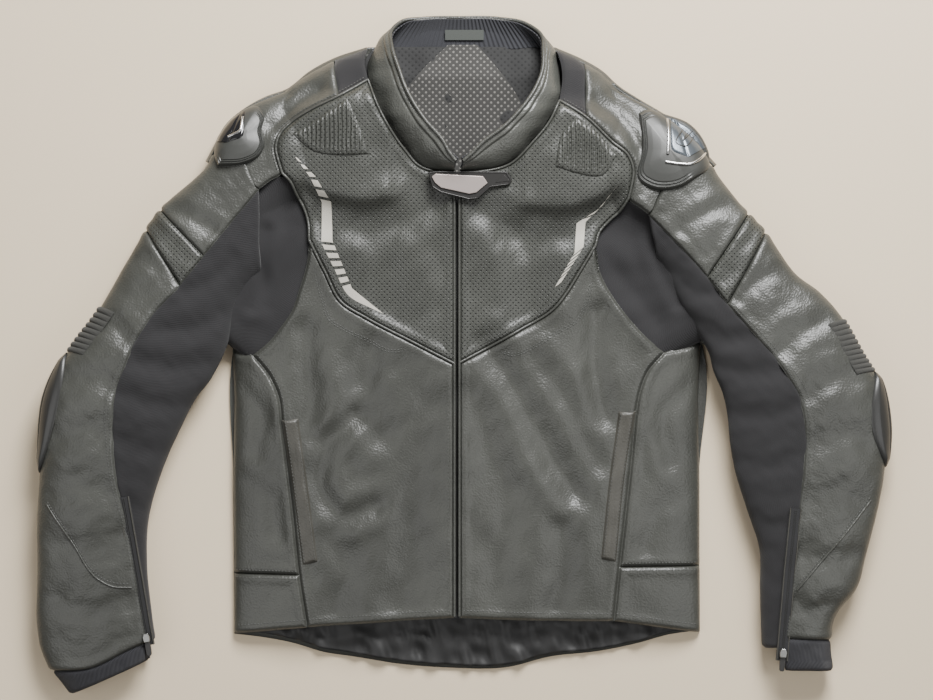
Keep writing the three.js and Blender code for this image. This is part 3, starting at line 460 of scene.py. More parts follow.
def stitches(name, lines, body="jacket_body", pitch=3.6, rise=front_rise, lift=0.35):
    """Lock stitches along plan lines: each is a six-sided grain 2.4 mm long, all joined in one mesh."""
    blocks = []
    for line in lines:
        run = np.r_[0, np.cumsum(np.linalg.norm(np.diff(line, axis=0), axis=1))]
        at = np.arange(pitch, run[-1] - pitch, pitch)
        if len(at) == 0:
            continue
        spot = np.stack([np.interp(at, run, line[:, c]) for c in range(line.shape[1])], 1)
        ahead = np.stack([np.interp(at + 1, run, line[:, c]) for c in range(line.shape[1])], 1)
        if line.shape[1] == 2:
            spot, ahead = (np.column_stack([s, rise(s[:, 0], s[:, 1]) + lift]) for s in (spot, ahead))
        blocks.append(np.stack([spot, ahead - spot], 1))
    spot = np.vstack(blocks)
    along = spot[:, 1] / np.linalg.norm(spot[:, 1], axis=1)[:, None]
    side = np.cross(along, (0, 0, 1.0))
    side /= np.linalg.norm(side, axis=1)[:, None]
    above = np.cross(side, along)
    form = np.array([(-1.25, 0, 0), (-0.5, 0.42, 0), (-0.5, 0, 0.42), (-0.5, -0.42, 0), (0.5, 0.42, 0),
                     (0.5, 0, 0.42), (0.5, -0.42, 0), (1.25, 0, 0)])
    points = spot[:, None, 0] + form[None, :, 0:1] * along[:, None]
    points = points + form[None, :, 1:2] * side[:, None] + form[None, :, 2:3] * above[:, None]
    faces = [(0, 2, 1), (0, 3, 2), (1, 2, 5, 4), (2, 3, 6, 5), (7, 4, 5), (7, 5, 6), (0, 1, 3),
             (1, 4, 6, 3), (4, 7, 6)]
    mesh = bpy.data.meshes.new(name)
    shift = np.arange(len(points)) * 8
    mesh.from_pydata((points.reshape(-1, 3) * MM).tolist(), [],
                     [tuple(int(s + v) for v in f) for s in shift for f in faces])
    mesh.materials.append(THREAD)
    piece = bpy.data.objects.new(name, mesh)
    bpy.context.scene.collection.objects.link(piece)
    return dress(piece, body, "leather") if body else piece


def beside(line, distance):
    """The same line moved sideways by a distance, to its left when that is positive."""
    along = np.gradient(line, axis=0)
    along /= np.linalg.norm(along, axis=1)[:, None]
    return line + distance * np.stack([-along[:, 1], along[:, 0]], 1)


# ---------------------------------------------------------------------------
# Yokes: perforated hide over the chest, one on each side of the zip. They
# come down to a point on the zip and are lapped over the plain fronts, with
# a bound edge and a row of stitches 4 mm inside it.


def chain(count, *parts, ease=0.0):
    """Several curves end to end, with a corner at each joint. The places are evenly spaced over the whole
    length, or by the ease closer together towards both ends."""
    line = np.vstack([curve(part, 90) for part in parts])
    run = np.r_[0, np.cumsum(np.hypot(*np.diff(line, axis=0).T))]
    t = np.linspace(0, 1, count)
    even = run[-1] * ((1 - ease) * t + ease * (0.5 - 0.5 * np.cos(np.pi * t)))
    return np.stack([np.interp(even, run, line[:, k]) for k in (0, 1)], 1)


def perforated(name, dark, light, roughness):
    """Cowhide punched on a diagonal lattice 4.1 mm apart: each hole is a dark dot pressed into the grain."""
    material = leather(name, dark, light, roughness, 0.3)
    nodes, links = material.node_tree.nodes, material.node_tree.links
    shader = nodes["Principled BSDF"]
    hole = nodes.new("ShaderNodeMapRange")
    hole.interpolation_type = "SMOOTHSTEP"
    hole.inputs["From Min"].default_value = 0.11
    hole.inputs["From Max"].default_value = 0.25
    links.new(lattice(material, 245), hole.inputs["Value"])
    two_tone(material, hole.outputs["Result"], (0.003, 0.003, 0.003),
             shader.inputs["Base Color"].links[0].from_socket)
    grain = shader.inputs["Normal"].links[0].from_node
    punch = bump(nodes, links, hole.outputs["Result"], shader, 0.7, 0.0008)
    links.new(grain.outputs["Normal"], punch.inputs["Normal"])
    return material


PERFORATED = perforated("perforated_cowhide", (0.021, 0.022, 0.019), (0.056, 0.058, 0.050), 0.42)
PLACKET = {"l": -2.6, "r": 2.8}
NECK_SEAM = {"l": [(-2.6, 213), (-22, 213.4), (-40, 219), (-55, 235), (-70, 256), (-85, 284), (-95.5, 312)],
             "r": [(2.8, 213), (30, 213.6), (56, 220.5), (82, 245), (99, 266), (110, 289)]}
YOKE_TOP = {"l": [(-95.5, 312), (-126, 294), (-159, 278), (-178, 266), (-190, 253), (-194, 238),
                  (-191, 224), (-187, 211)], "r": [(110, 289), (138, 271), (167, 244), (184, 229),
                                                   (189, 215), (187, 197), (184, 184)]}
YOKE_ARM = {"l": [(-187, 211), (-179, 203), (-172, 188), (-165, 175), (-160, 158), (-159, 140)],
            "r": [(184, 184), (176, 172), (164, 161), (153, 148), (149, 134)]}
YOKE_LOW = {"l": [(-159, 140), (-142, 106), (-125, 74), (-97, 56), (-49, 31), (-2.6, 7)],
            "r": [(149, 134), (132, 106), (117, 82), (106, 68), (67, 43), (2.8, 8)]}
yoke_lines = []
for side in SIDES:
    zip_edge = [(PLACKET[side], YOKE_LOW[side][-1][1]), (PLACKET[side], 213)]
    inner = chain(230, zip_edge, NECK_SEAM[side])
    outer = chain(230, YOKE_LOW[side][::-1], YOKE_ARM[side][::-1], YOKE_TOP[side][::-1])
    sewn_panel(f"yoke_{side}", inner, outer, PERFORATED, "perforated_leather", [f"front_yoke_{side}"], 110,
               lift=0.8)
    turn = 1 if side == "l" else -1
    low = curve(YOKE_LOW[side], 160)
    yoke_lines += [beside(low, 4 * turn), beside(low, 6.6 * turn),
                   beside(curve(YOKE_TOP[side], 90), -4 * turn),
                   np.array(zip_edge) + (7 * -turn, 0), beside(curve(NECK_SEAM[side], 90), 4 * turn)]
stitches("yoke_stitches", yoke_lines, lift=2.0)

# ---------------------------------------------------------------------------
# Fronts: plain hide from the yoke to the hem, turned under along the zip.
# A curved line of topstitching follows the yoke, and the hem is folded and
# stitched 10 mm up.
ARMHOLE = {"l": [(-159, 140), (-160, 126), (-164, 106), (-170, 87), (-178, 64), (-189, 48), (-205, 29),
                 (-221, 16)], "r": [(149, 134), (151, 117), (158, 97), (171, 75), (188, 53), (206, 34),
                                    (224, 19)]}
SIDE_SEAM = {"l": [(-221, 16), (-203, -6), (-193, -28), (-189, -60), (-183, -110), (-177, -160),
                   (-171, -222), (-162, -279)], "r": [(224, 19), (206, -2), (198, -22), (193, -50),
                                                      (189, -95), (183, -150), (176, -213), (170, -272)]}
FRONT_HEM = {"l": [(-162, -279), (-130, -276.5), (-94, -274), (-50, -271), (-2.6, -268)],
             "r": [(170, -272), (120, -272), (60, -270.5), (2.8, -268.5)]}
TOPSTITCH = {"l": [(-157, 118), (-146, 76), (-138, 54), (-120, 42), (-94, 30), (-74, 20), (-60, 20),
                   (-48, 27)], "r": [(147, 112), (139, 76), (128, 54), (108, 42), (80, 25), (60, 18),
                                     (44, 24), (36, 29)]}
front_lines, top_lines = [], []
for side in SIDES:
    inner = curve([(PLACKET[side], YOKE_LOW[side][-1][1] - 0.8), (PLACKET[side], FRONT_HEM[side][-1][1])],
                  210)
    above = chain(270, YOKE_LOW[side][::-1], ARMHOLE[side], ease=0.85)
    below = chain(270, FRONT_HEM[side][::-1], SIDE_SEAM[side][::-1], ease=0.85)
    sewn_panel(f"front_{side}", above, below, COWHIDE, "leather", [f"front_panel_{side}"], 150,
               seams=(above, below, inner))
    turn = 1 if side == "l" else -1
    hem = curve(FRONT_HEM[side], 80)
    top_lines += [curve(TOPSTITCH[side], 90), beside(curve(TOPSTITCH[side], 90), 2.4)]
    front_lines += [beside(curve(SIDE_SEAM[side], 120), 4 * turn), beside(hem, 9 * turn),
                    inner + (-7 * turn, 0), beside(curve(ARMHOLE[side], 80), 4 * turn)]
stitches("front_stitches", front_lines, lift=1.15)
stitches("curved_stitches", top_lines, lift=0.25)

# ---------------------------------------------------------------------------
# Side panels and hem bands: plain hide from the armpit to the waist, rolled
# round the side fold, with a separate band across the bottom.
SIDE_FOLD = {"l": [(-244.5, 25), (-244.4, -30), (-244.4, -120), (-243.4, -221)],
             "r": [(265.6, 31), (264, -30), (264.6, -120), (264.6, -213)]}
HEM_FOLD = {"l": [(-243.4, -221), (-243, -255), (-243, -287)], "r": [(264.6, -213), (265, -250), (265, -286)]}
PIT = {"l": [(-221, 16), (-236, 18), (-244.5, 25)], "r": [(224, 19), (248, 24), (265.6, 31)]}
side_lines = []
for side in SIDES:
    seam = np.array(SIDE_SEAM[side])
    upper, lower = curve(seam[:-1], 120), curve(seam[-2:], 40)
    fold = curve(SIDE_FOLD[side], 120)
    band = np.array([upper[-1], fold[-1]])
    sewn_panel(f"side_{side}", upper, fold, COWHIDE, "leather", [f"side_panel_{side}"], 70,
               seams=(upper, band, curve(PIT[side], 30)))
    hem = np.array([lower[-1], HEM_FOLD[side][-1]])
    sewn_panel(f"hem_band_{side}", lower, curve(HEM_FOLD[side], 40), COWHIDE, "leather",
               [f"hem_band_{side}"], 70,
               seams=(lower, band, hem))
    side_lines += [band + (0, 4), band - (0, 4), hem + (0, 9)]
stitches("side_stitches", side_lines, lift=1.15)

# ---------------------------------------------------------------------------
# Shoulders: hide over the top of each shoulder, running under the cap and
# round the outer fold, and a stretch insert sewn in beside the collar.
SHOULDER_FOLD = {"l": [(-134, 337), (-160, 323), (-184, 304), (-208, 295), (-231, 282), (-250, 264),
                       (-260, 246), (-244, 236), (-227, 222), (-216, 198)],
                 "r": [(138, 335), (158, 323), (174, 308), (198, 292), (222, 277), (246, 260), (262, 240),
                       (266, 226), (244, 212), (222, 198), (209, 172)]}
SHOULDER_LOW = {"l": [(-126, 294), (-159, 278), (-178, 266), (-190, 253), (-194, 238), (-191, 224),
                      (-188, 211), (-200, 203), (-212, 194)], "r": [(138, 271), (167, 244), (184, 229),
        (189, 215), (187, 197), (184, 184), (195, 175), (205, 167)]}
for side in SIDES:
    first, second = curve(SHOULDER_LOW[side], 110), curve(SHOULDER_FOLD[side], 110)
    neck_end = np.array([first[0], second[0]])
    sewn_panel(f"shoulder_{side}", first, second, COWHIDE, "leather", [f"shoulder_panel_{side}"], 70,
               seams=(first, neck_end))


def normals(points):
    """Normals of a grid of places: the cross product of its two directions, not brought to length 1."""
    return np.cross(np.gradient(points, axis=0), np.gradient(points, axis=1))


# The shoulder hide rolls round the outer fold and is sewn to the back panel underneath.
RIM = {"l": [(-98, 350), (-134, 338), (-160, 324), (-184, 305), (-208, 296), (-231, 283), (-251, 265),
             (-262, 245), (-272, 226)], "r": [(106, 350), (138, 336), (158, 324), (174, 309), (198, 293),
                                              (223, 278), (247, 261), (265, 240), (281, 222)]}
for side in SIDES:
    rim = curve(RIM[side], 130)
    t = np.linspace(0, 1, 22)[None]
    out = (beside(rim, -1 if side == "l" else 1) - rim)[:, None]
    crown = np.maximum(front_rise(rim[:, 0], rim[:, 1]), 16)[:, None] + 0.8
    plan = rim[:, None] + out * (2.2 * np.sin(np.pi * t) - 3 * (1 - t) ** 2)[..., None]
    level = np.broadcast_to(crown * (1 - t) + 2.8 * t, plan.shape[:2])
    rolled = np.dstack([plan, level])
    middle = rolled.mean(1).mean(0) * (0.4, 0.4, 1)
    facing = (normals(rolled) * (rolled - middle)).sum()
    edge = grid_mesh(f"shoulder_rim_{side}", rolled if facing > 0 else rolled[::-1], COWHIDE, up=False)
    dress(thicken(edge, HIDE_WALL), "jacket_body", "leather")


def stretch_cloth(name, color, ribs=0.0, way="X"):
    """Bi-elastic weave: fine diagonal threads on the cloth's own UV map, with a woolly sheen."""
    material = plain(name, color, 0.92)
    nodes, links = material.node_tree.nodes, material.node_tree.links
    shader = nodes["Principled BSDF"]
    shader.inputs["Sheen Weight"].default_value = 0.08
    shader.inputs["Sheen Roughness"].default_value = 0.6
    weave = nodes.new("ShaderNodeTexWave")
    weave.bands_direction = way if ribs else "DIAGONAL"
    weave.inputs["Scale"].default_value = ribs or 260
    weave.inputs["Distortion"].default_value = 0.0 if ribs else 2.5
    links.new(nodes.new("ShaderNodeTexCoord").outputs["UV"], weave.inputs["Vector"])
    strength, depth = (0.9, 0.0016) if ribs else (0.35, 0.0006)
    bump(nodes, links, weave.outputs["Fac"], shader, strength, depth)
    return material


STRETCH = stretch_cloth("stretch_weave", (0.0085, 0.008, 0.009))
STRETCH_INNER = {"l": [(-97.5, 348), (-99.5, 337), (-95.5, 312)],
                 "r": [(108, 348), (111.5, 335), (113.5, 315), (110, 289)]}
STRETCH_OUTER = {"l": [(-131, 341), (-133, 325), (-126, 294)], "r": [(131, 340), (138, 330), (138, 300),
        (138, 271)]}
for side in SIDES:
    first, second = curve(STRETCH_INNER[side], 60), curve(STRETCH_OUTER[side], 60)
    sewn_panel(f"shoulder_insert_{side}", first, second, STRETCH, "stretch", [f"shoulder_stretch_{side}"], 30,
               swell=0.4, lift=-0.6)

# ---------------------------------------------------------------------------
# Chest reliefs: a gathered patch of the same perforated hide on each chest
# pad, sewn down along its lower edge so that fine pleats stand up in it.
RELIEF = {"l": ([(-117, 292), (-148, 271), (-176, 253)], [(-117, 292), (-104, 262), (-93, 231)],
                [(-93, 231), (-126, 230), (-154, 235), (-176, 253)]),
          "r": ([(128, 270), (148, 257), (171, 230)], [(128, 270), (114, 256), (105, 218)],
                [(105, 218), (126, 211), (156, 209), (171, 230)])}
for side in SIDES:
    far, near_edge, low_edge = RELIEF[side]
    first, second = curve(far, 170), chain(170, near_edge, low_edge)
    plan = ruled(first, second, 120)
    x, y = plan[..., 0], plan[..., 1]
    away = reach(x, y, np.vstack([second, first[::-1]]))
    inside = np.clip(away / 9, 0, 1)
    pleat = 0.75 * np.sin(x * 2 * np.pi / 4.7 + 0.7 * ripple(x, y, 30, 61)) * inside
    level = front_rise(x, y) + 0.9 + 2.6 * np.clip(away / 5, 0, 1) ** 0.5 + pleat
    relief = grid_mesh(f"chest_relief_{side}", np.dstack([plan, level]), PERFORATED)
    dress(relief, "jacket_body", "perforated_leather")

# ---------------------------------------------------------------------------
# Reflective flashes: a silver film pressed on the yoke. Each starts as a row
# of short dashes, widens into a band cut by slanting slits and ends in a tip.


def straight(line, t):
    """Places on the straight segments between a line's corners, at shares of their count."""
    return np.stack([np.interp(t * (len(line) - 1), range(len(line)), line[:, c]) for c in (0, 1)], -1)


FILM = plain("reflective_film", (0.42, 0.40, 0.35), 0.5)
FLASH = {"l": (np.array([(-172.6, 227.5), (-156.8, 206), (-145.3, 180.5), (-145.8, 136), (-119.2, 79.2),
                         (-79, 60.5)]), np.array([(-171.8, 228.3), (-152, 208), (-135, 180.5),
                                                  (-133.8, 139.5), (-112.8, 88), (-79, 60.5)])),
         "r": (np.array([(171.6, 197.3), (156, 176.5), (138.3, 159.2), (136, 132), (111.5, 93.5)]),
               np.array([(170.8, 196.3), (152, 173), (128.5, 157.7), (126.3, 126), (105.5, 89.5)]))}
SPANS = {"l": [(0.0, 0.045), (0.075, 0.12), (0.15, 0.20), (0.225, 0.28), (0.305, 0.36), (0.385, 0.60),
               (0.612, 0.632), (0.644, 0.664), (0.676, 0.696), (0.708, 0.728), (0.74, 0.76), (0.772, 1.0)],
         "r": [(0.0, 0.05), (0.09, 0.15), (0.19, 0.26), (0.30, 0.38), (0.42, 0.76), (0.775, 0.80),
               (0.815, 0.84), (0.855, 0.88), (0.895, 0.92), (0.935, 1.0)]}
for side in SIDES:
    edge_a, edge_b = (straight(line, np.linspace(0, 1, 240)) for line in FLASH[side])
    pieces = []
    for start, stop in SPANS[side]:
        across_film = np.linspace(0, 1, 6)
        t = np.linspace(start, stop, 14 if stop - start < 0.1 else 70)[:, None]
        t = np.clip(t + 0.02 * (across_film - 0.5)[None], 0, 1)
        points_a, points_b = (straight(edge, t) for edge in (edge_a, edge_b))
        plan = points_a * (1 - across_film[None, :, None]) + points_b * across_film[None, :, None]
        level = front_rise(plan[..., 0], plan[..., 1]) + 1.35
        pieces.append(grid_mesh(f"flash_{side}", np.dstack([plan, level]), FILM))
    with bpy.context.temp_override(active_object=pieces[0], selected_editable_objects=pieces):
        bpy.ops.object.join()
    dress(pieces[0], "jacket_body", "perforated_leather")

# ---------------------------------------------------------------------------
# Pocket welts: a folded strip of hide over the mouth of each hand pocket,
# sewn beside the side seam. It is cut from smoother, browner hide.
WELT_HIDE = leather("welt_hide", (0.030, 0.029, 0.024), (0.058, 0.055, 0.046), 0.46, 0.3)
WELT = {"l": ([(-189, -54), (-178, -133), (-168, -213)], [(-171, -52), (-160, -130), (-150, -207)]),
        "r": ([(193, -44), (181, -127), (173, -209)], [(174, -45), (163, -125), (155, -204)])}
for side in SIDES:
    outer, inner = (curve(line, 150) for line in WELT[side])
    ends = [np.array([outer[i], inner[i]]) for i in (0, -1)]
    sewn_panel(f"pocket_welt_hide_{side}", outer, inner, WELT_HIDE, "leather", [f"pocket_welt_{side}"], 26,
               seams=(outer, inner, *ends), swell=0.5, lift=2.3)
    stitches(f"welt_stitches_{side}", [outer * 0.82 + inner * 0.18, outer * 0.16 + inner * 0.84], lift=2.7)

# ---------------------------------------------------------------------------
# Piping: a cord covered in thin hide, caught in the seam round each yoke and
# along the turned edges beside the zip.


def cord_points(line, radius, sides=10):
    """A round cord: a circle of points square to the line at every place on it."""
    along = np.gradient(line, axis=0)
    along /= np.linalg.norm(along, axis=1)[:, None]
    side = np.cross(along, (0, 0, 1.0))
    side /= np.maximum(np.linalg.norm(side, axis=1), 1e-6)[:, None]
    above = np.cross(side, along)
    turn = np.linspace(0, 2 * np.pi, sides + 1)[None, :, None]
    return line[:, None] + radius * (np.cos(turn) * side[:, None] + np.sin(turn) * above[:, None])


def front_cord(name, line, radius, lift, material=COWHIDE):
    """A cord laid along a plan line on the front."""
    path = np.column_stack([line, front_rise(line[:, 0], line[:, 1]) + lift])
    return dress(grid_mesh(name, cord_points(path, radius), material, up=False), "jacket_body", "leather")


for side in SIDES:
    turn = -1 if side == "l" else 1
    outer = chain(420, YOKE_LOW[side][::-1], YOKE_ARM[side][::-1], YOKE_TOP[side][::-1])
    front_cord(f"yoke_piping_{side}", outer, 1.5, 0.5)
    front_cord(f"neck_piping_{side}", curve(NECK_SEAM[side], 120), 1.3, 0.6)
    front_cord(f"zip_edge_{side}", np.array([(2.7 * turn, y) for y in np.linspace(-266, 212, 240)]), 1.5, 0.4)

# ---------------------------------------------------------------------------
# Underarm gussets: soft stretch cloth from the armhole to the sleeve. It
# sinks between the stiffer hides and tucks under both.
CLOTH_WALL = 1.2
GUSSET_LAST = {"l": [(-225, 191), (-224, 160), (-224, 130), (-229, 105), (-241, 85), (-253, 62),
                     (-259, 38)], "r": [(219, 167), (222, 148), (229, 126), (241, 106), (257, 80),
                                        (269, 58), (281, 36)]}
GUSSET_FIRST = {"l": [(-213, 200), (-198, 208), (-183, 206), (-167, 188), (-155, 158), (-154, 138),
                      (-159, 106), (-173, 64), (-201, 28), (-226, 14), (-242, 22)],
                "r": [(206, 172), (194, 177), (181, 181), (163, 164), (148, 148), (145, 134), (153, 97),
                      (183, 53), (220, 19), (246, 23), (264, 30)]}
GUSSET_BLEND = {"l": ((-0.2174, 0.0486, 0), (-0.2418, 0.0541, 0)),
                "r": ((0.2148, 0.0517, 0), (0.2430, 0.0585, 0))}
for side in SIDES:
    first, second = curve(GUSSET_FIRST[side], 150), curve(GUSSET_LAST[side], 150)
    plan = ruled(first, second, 80)
    x, y = plan[..., 0], plan[..., 1]
    share = (0.5 - 0.5 * np.cos(np.linspace(0, np.pi, 80)))[None]
    ends = np.sin(np.pi * np.linspace(0.04, 0.97, 150))[:, None] ** 0.7
    top = front_rise(first[:, 0], first[:, 1])[:, None] - 3.2
    arm = sleeve_skin(side, second[:, 0], second[:, 1])[0][:, None] - 7
    level = top * (1 - share) + arm * share - 7.5 * ends * np.sin(np.pi * share) ** 1.2
    folds = {"l": [([(-208, 150), (-214, 118), (-211, 96), (-222, 68)], 7, 3.2),
                   ([(-168, 150), (-190, 120), (-204, 70)], 9, 2.2)],
             "r": [([(208, 150), (220, 112), (240, 74)], 7, 3.2), ([(160, 120), (184, 90), (216, 50)], 9,
                     2.2)]}
    folded = valleys(x, y, folds[side]) + 1.3 * ripple(x, y * 0.6, 34, 21)
    level = level + folded * np.clip(4 * share * (1 - share), 0, 1) * ends
    gusset = grid_mesh(f"underarm_cloth_{side}", np.dstack([plan, np.maximum(level, 4.5)]), STRETCH)
    thicken(gusset, CLOTH_WALL)
    start, end = GUSSET_BLEND[side]
    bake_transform(gusset)
    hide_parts(f"underarm_gusset_{side}")

# ---------------------------------------------------------------------------
# Sleeve heads: the stretch cloth between the shoulder hide and the sleeve. It
# lies hidden under both, and closes the gap that opens below the cap when the
# arm swings out.
HEAD_BODY = {"l": [(-236, 262), (-228, 244), (-214, 226), (-204, 205)],
             "r": [(240, 240), (228, 224), (210, 206), (197, 180)]}
HEAD_ARM = {"l": [(-262, 232), (-252, 222), (-240, 206), (-232, 190)],
            "r": [(268, 212), (252, 200), (236, 184), (226, 162)]}
for side in SIDES:
    plan = ruled(curve(HEAD_BODY[side], 40), curve(HEAD_ARM[side], 40), 30)
    level = np.maximum(front_rise(plan[..., 0], plan[..., 1]) - 5, 6)
    head = grid_mesh(f"sleeve_head_{side}", np.dstack([plan, level]), STRETCH)
    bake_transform(head)

# ---------------------------------------------------------------------------
# Sleeves: a hide shell round the outside of the arm and stretch cloth inside.
# Each hide piece is a strip round the sleeve between the top and bottom seams;
# it wrinkles across the bend of the elbow.
SPLIT = {"l": [(-212, 193), (-243, 156), (-275, 117), (-296, 90), (-327, 56), (-346, 24), (-356, -1),
               (-365, -30), (-367, -65), (-366, -100), (-362, -128), (-354, -160), (-344, -225),
               (-333, -297)], "r": [(205, 166), (236, 135), (268, 99), (289, 71), (323, 32), (348, 1),
                                    (364, -28), (370, -48), (372, -76), (370, -112), (366, -148),
                                    (361, -210), (350, -313)]}


def wrap(side, k, angle):
    """A place on the sleeve: across the station by the cosine and up by the sine of the angle, both to
    the superellipse's power; 0 is the inner fold, 90 degrees the top and 180 the outer fold."""
    outer, inner, half = station(side, k)
    middle, reach_out = (outer + inner) / 2, (inner - outer) / 2
    c, s = (np.sign(f(angle)) * np.abs(f(angle)) ** (2 / SLEEVE_POWER) for f in (np.cos, np.sin))
    return np.concatenate([middle + reach_out * c[..., None], (half * (1 + s))[..., None]], -1)


def seam_share(side, line):
    """The stations that a seam's places lie on and their shares across, both as arrays."""
    points = curve(line, 120)
    places, shares, _ = sleeve_place(side, points[:, 0], points[:, 1])
    return places, shares


SPLIT_AT = {side: seam_share(side, SPLIT[side]) for side in SIDES}


def split_angle(side, k):
    """Angle at which the seam between hide and stretch cloth crosses station k."""
    places, shares = SPLIT_AT[side]
    order = np.argsort(places)
    share = np.clip(np.interp(k, places[order], shares[order]), -0.99, 0.99)
    return np.arccos(np.sign(share) * np.abs(share) ** (SLEEVE_POWER / 2))


def outward(side, k, points, amount):
    """Moves points of a sleeve along their own normals, away from the sleeve's middle line."""
    outer, inner, half = station(side, k)
    normal = normals(points)
    normal /= np.maximum(np.linalg.norm(normal, axis=2, keepdims=True), 1e-9)
    spoke = points - np.dstack([(outer + inner) / 2, half])
    normal *= np.where((spoke * normal).sum(2, keepdims=True) < 0, -1, 1)
    return points + normal * np.broadcast_to(amount, points.shape[:2])[..., None]


def sleeve_mesh(name, side, k, points, material):
    """The mesh of a sleeve piece, facing outwards and lying on the floor at the lowest."""
    outer, inner, half = station(side, k)
    spoke = points - np.dstack([(outer + inner) / 2, half])
    facing = (normals(points) * spoke).sum()
    points = points.copy()
    points[..., 2] = np.maximum(points[..., 2], 0.4)
    return grid_mesh(name, points if facing > 0 else points[::-1], material, up=False)


ARM_CREASES = {"l": [([(-262, 150), (-290, 168), (-308, 172)], 8, 2.0),
                     ([(-300, 96), (-330, 118), (-344, 120)], 8, 1.6),
                     ([(-350, 30), (-372, 52), (-392, 54)], 10, 2.4),
                     ([(-364, -20), (-392, -6), (-414, -10)], 11, 2.2),
                     ([(-374, -70), (-402, -62), (-426, -72)], 12, 1.8),
                     ([(-376, -130), (-408, -118), (-432, -130)], 13, 1.6),
                     ([(-362, -180), (-392, -190), (-428, -186)], 14, 2.0),
                     ([(-352, -250), (-388, -258), (-430, -246)], 12, 1.8)],
               "r": [([(240, 150), (268, 168), (290, 176)], 8, 2.0), ([(300, 76), (330, 100), (346, 104)],
        8, 1.6), ([(346, 20), (372, 44), (392, 52)], 10, 2.4), ([(368, -30), (396, -12), (420, -6)], 11,
        2.4), ([(378, -80), (408, -68), (436, -74)], 12, 2.0), ([(376, -140), (408, -130), (436, -142)], 13,
        1.8), ([(368, -196), (396, -206), (426, -200)], 12, 2.4), ([(362, -250), (382, -260), (404, -252)],
        10, 2.0)]}
CLOTH_CREASES = {"l": [([(-240, 120), (-262, 96), (-292, 84)], 8, 1.8),
                       ([(-252, 60), (-282, 44), (-320, 44)], 9, 2.4), ([(-268, 8), (-300, 2), (-342, 10)],
        9, 2.6), ([(-288, -40), (-322, -38), (-358, -26)], 9, 2.2),
                       ([(-312, -92), (-336, -86), (-362, -76)], 9, 1.8),
                       ([(-326, -150), (-344, -150), (-356, -140)], 8, 1.4)],
                 "r": [([(232, 104), (252, 84), (276, 82)], 8, 1.8), ([(256, 50), (282, 34), (312, 36)], 9,
        2.4), ([(276, 4), (306, -4), (346, 0)], 9, 2.6), ([(290, -48), (326, -50), (364, -40)], 9, 2.2),
                       ([(300, -100), (334, -104), (366, -92)], 9, 2.0),
                       ([(320, -160), (342, -170), (360, -164)], 8, 1.6),
                       ([(328, -220), (342, -228), (356, -222)], 8, 1.4)]}


def seam_station(side, line, angle):
    """Station at which a seam across the sleeve is met at each angle, the same underneath as on top."""
    if not isinstance(line, list):
        return np.full(angle.shape, float(line))
    places, shares = seam_share(side, line)
    order = np.argsort(shares)
    c = np.cos(angle)
    return np.interp(np.sign(c) * np.abs(c) ** (2 / SLEEVE_POWER), shares[order], places[order])


def sleeve_strip(name, side, start, stop, edges, material, creases, rows, lift=0.0, swell=0.9, columns=110):
    """A piece of sleeve between two seams across it and two angles. It wrinkles along its creases and
    softly everywhere, less at the folds, and all its edges turn down like those of the front's panels.
    Returns the mesh with its places, for stitches to follow."""
    share = 0.5 - 0.5 * np.cos(np.linspace(0, np.pi, columns))
    ends = []
    for line in (start, stop):
        k = np.full(columns, seam_share(side, line)[0].mean() if isinstance(line, list) else float(line))
        for _ in range(6):
            low, high = edges(k)
            k = seam_station(side, line, low + (high - low) * share)
        ends.append(k)
    along = np.linspace(0, 1, rows)[:, None]
    k = ends[0][None] * (1 - along) + ends[1][None] * along
    low, high = edges(k)
    angle = low + (high - low) * share[None]
    points = wrap(side, k, angle)
    x, y = points[..., 0], points[..., 1]
    free = np.abs(np.sin(angle)) ** 0.8
    change = ripple(x, y + 0.6 * points[..., 2], 66, 31)
    change = change + 0.5 * ripple(x, y, 27, 32) + 0.2 * ripple(x, y, 13, 33)
    change = free * (change + np.where(np.sin(angle) > 0, valleys(x, y, creases[side]), 0))
    run, fall = (np.linalg.norm(np.diff(points, axis=axis), axis=2).cumsum(axis) for axis in (1, 0))
    run, fall = np.hstack([np.zeros((rows, 1)), run]), np.vstack([np.zeros((1, columns)), fall])
    away = np.minimum(np.minimum(run, run[:, -1:] - run), np.minimum(fall, fall[-1:] - fall))
    seam = lift + swell * np.exp(-((away - 6) / 5) ** 2) - 2.2 * np.exp(-(away / 1.8) ** 2)
    points = outward(side, k, points, change + seam)
    return sleeve_mesh(name, side, k, points, material), points


def hide_edges(side):
    """Angles of a hide strip: from the top seam over the outer fold to the bottom seam."""
    return lambda k: (split_angle(side, k), 2 * np.pi - split_angle(side, k))


def cloth_edges(side):
    """Angles of a stretch strip: from the bottom seam round the inner fold to the top seam."""
    return lambda k: (-split_angle(side, k) - 0.03, split_angle(side, k) + 0.03)


CLOTH_START = {"l": [(-212, 193), (-211, 165), (-211, 135), (-209, 112)],
               "r": [(205, 167), (208, 150), (212, 130), (213, 117)]}
ROOT = {"l": [(-276, 232), (-250, 234), (-228, 226), (-219, 208), (-212, 194)],
        "r": [(284, 224), (262, 220), (240, 208), (222, 198), (213, 182), (205, 167)]}
BAND = {"l": [(-318, 170), (-272, 123)], "r": [(320, 176), (268, 99)]}
BAND_LOW = {"l": [(-334, 149), (-296, 90)], "r": [(337, 155), (291, 73)]}
CUFF_TOP = {"l": [(-438, -326), (-396, -322), (-353, -302), (-334, -294)],
            "r": [(405, -292), (372, -290), (352, -289)]}
WEAVE_END = {"l": 13.05, "r": 17.05}


def bend(piece, side, slot, *nodes):
    """A sleeve piece that crosses the elbow: its transform is baked into its mesh and the CAD nodes named are
    hidden; it rides on no body.
    """
    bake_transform(piece)
    if nodes:
        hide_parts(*nodes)
    return piece


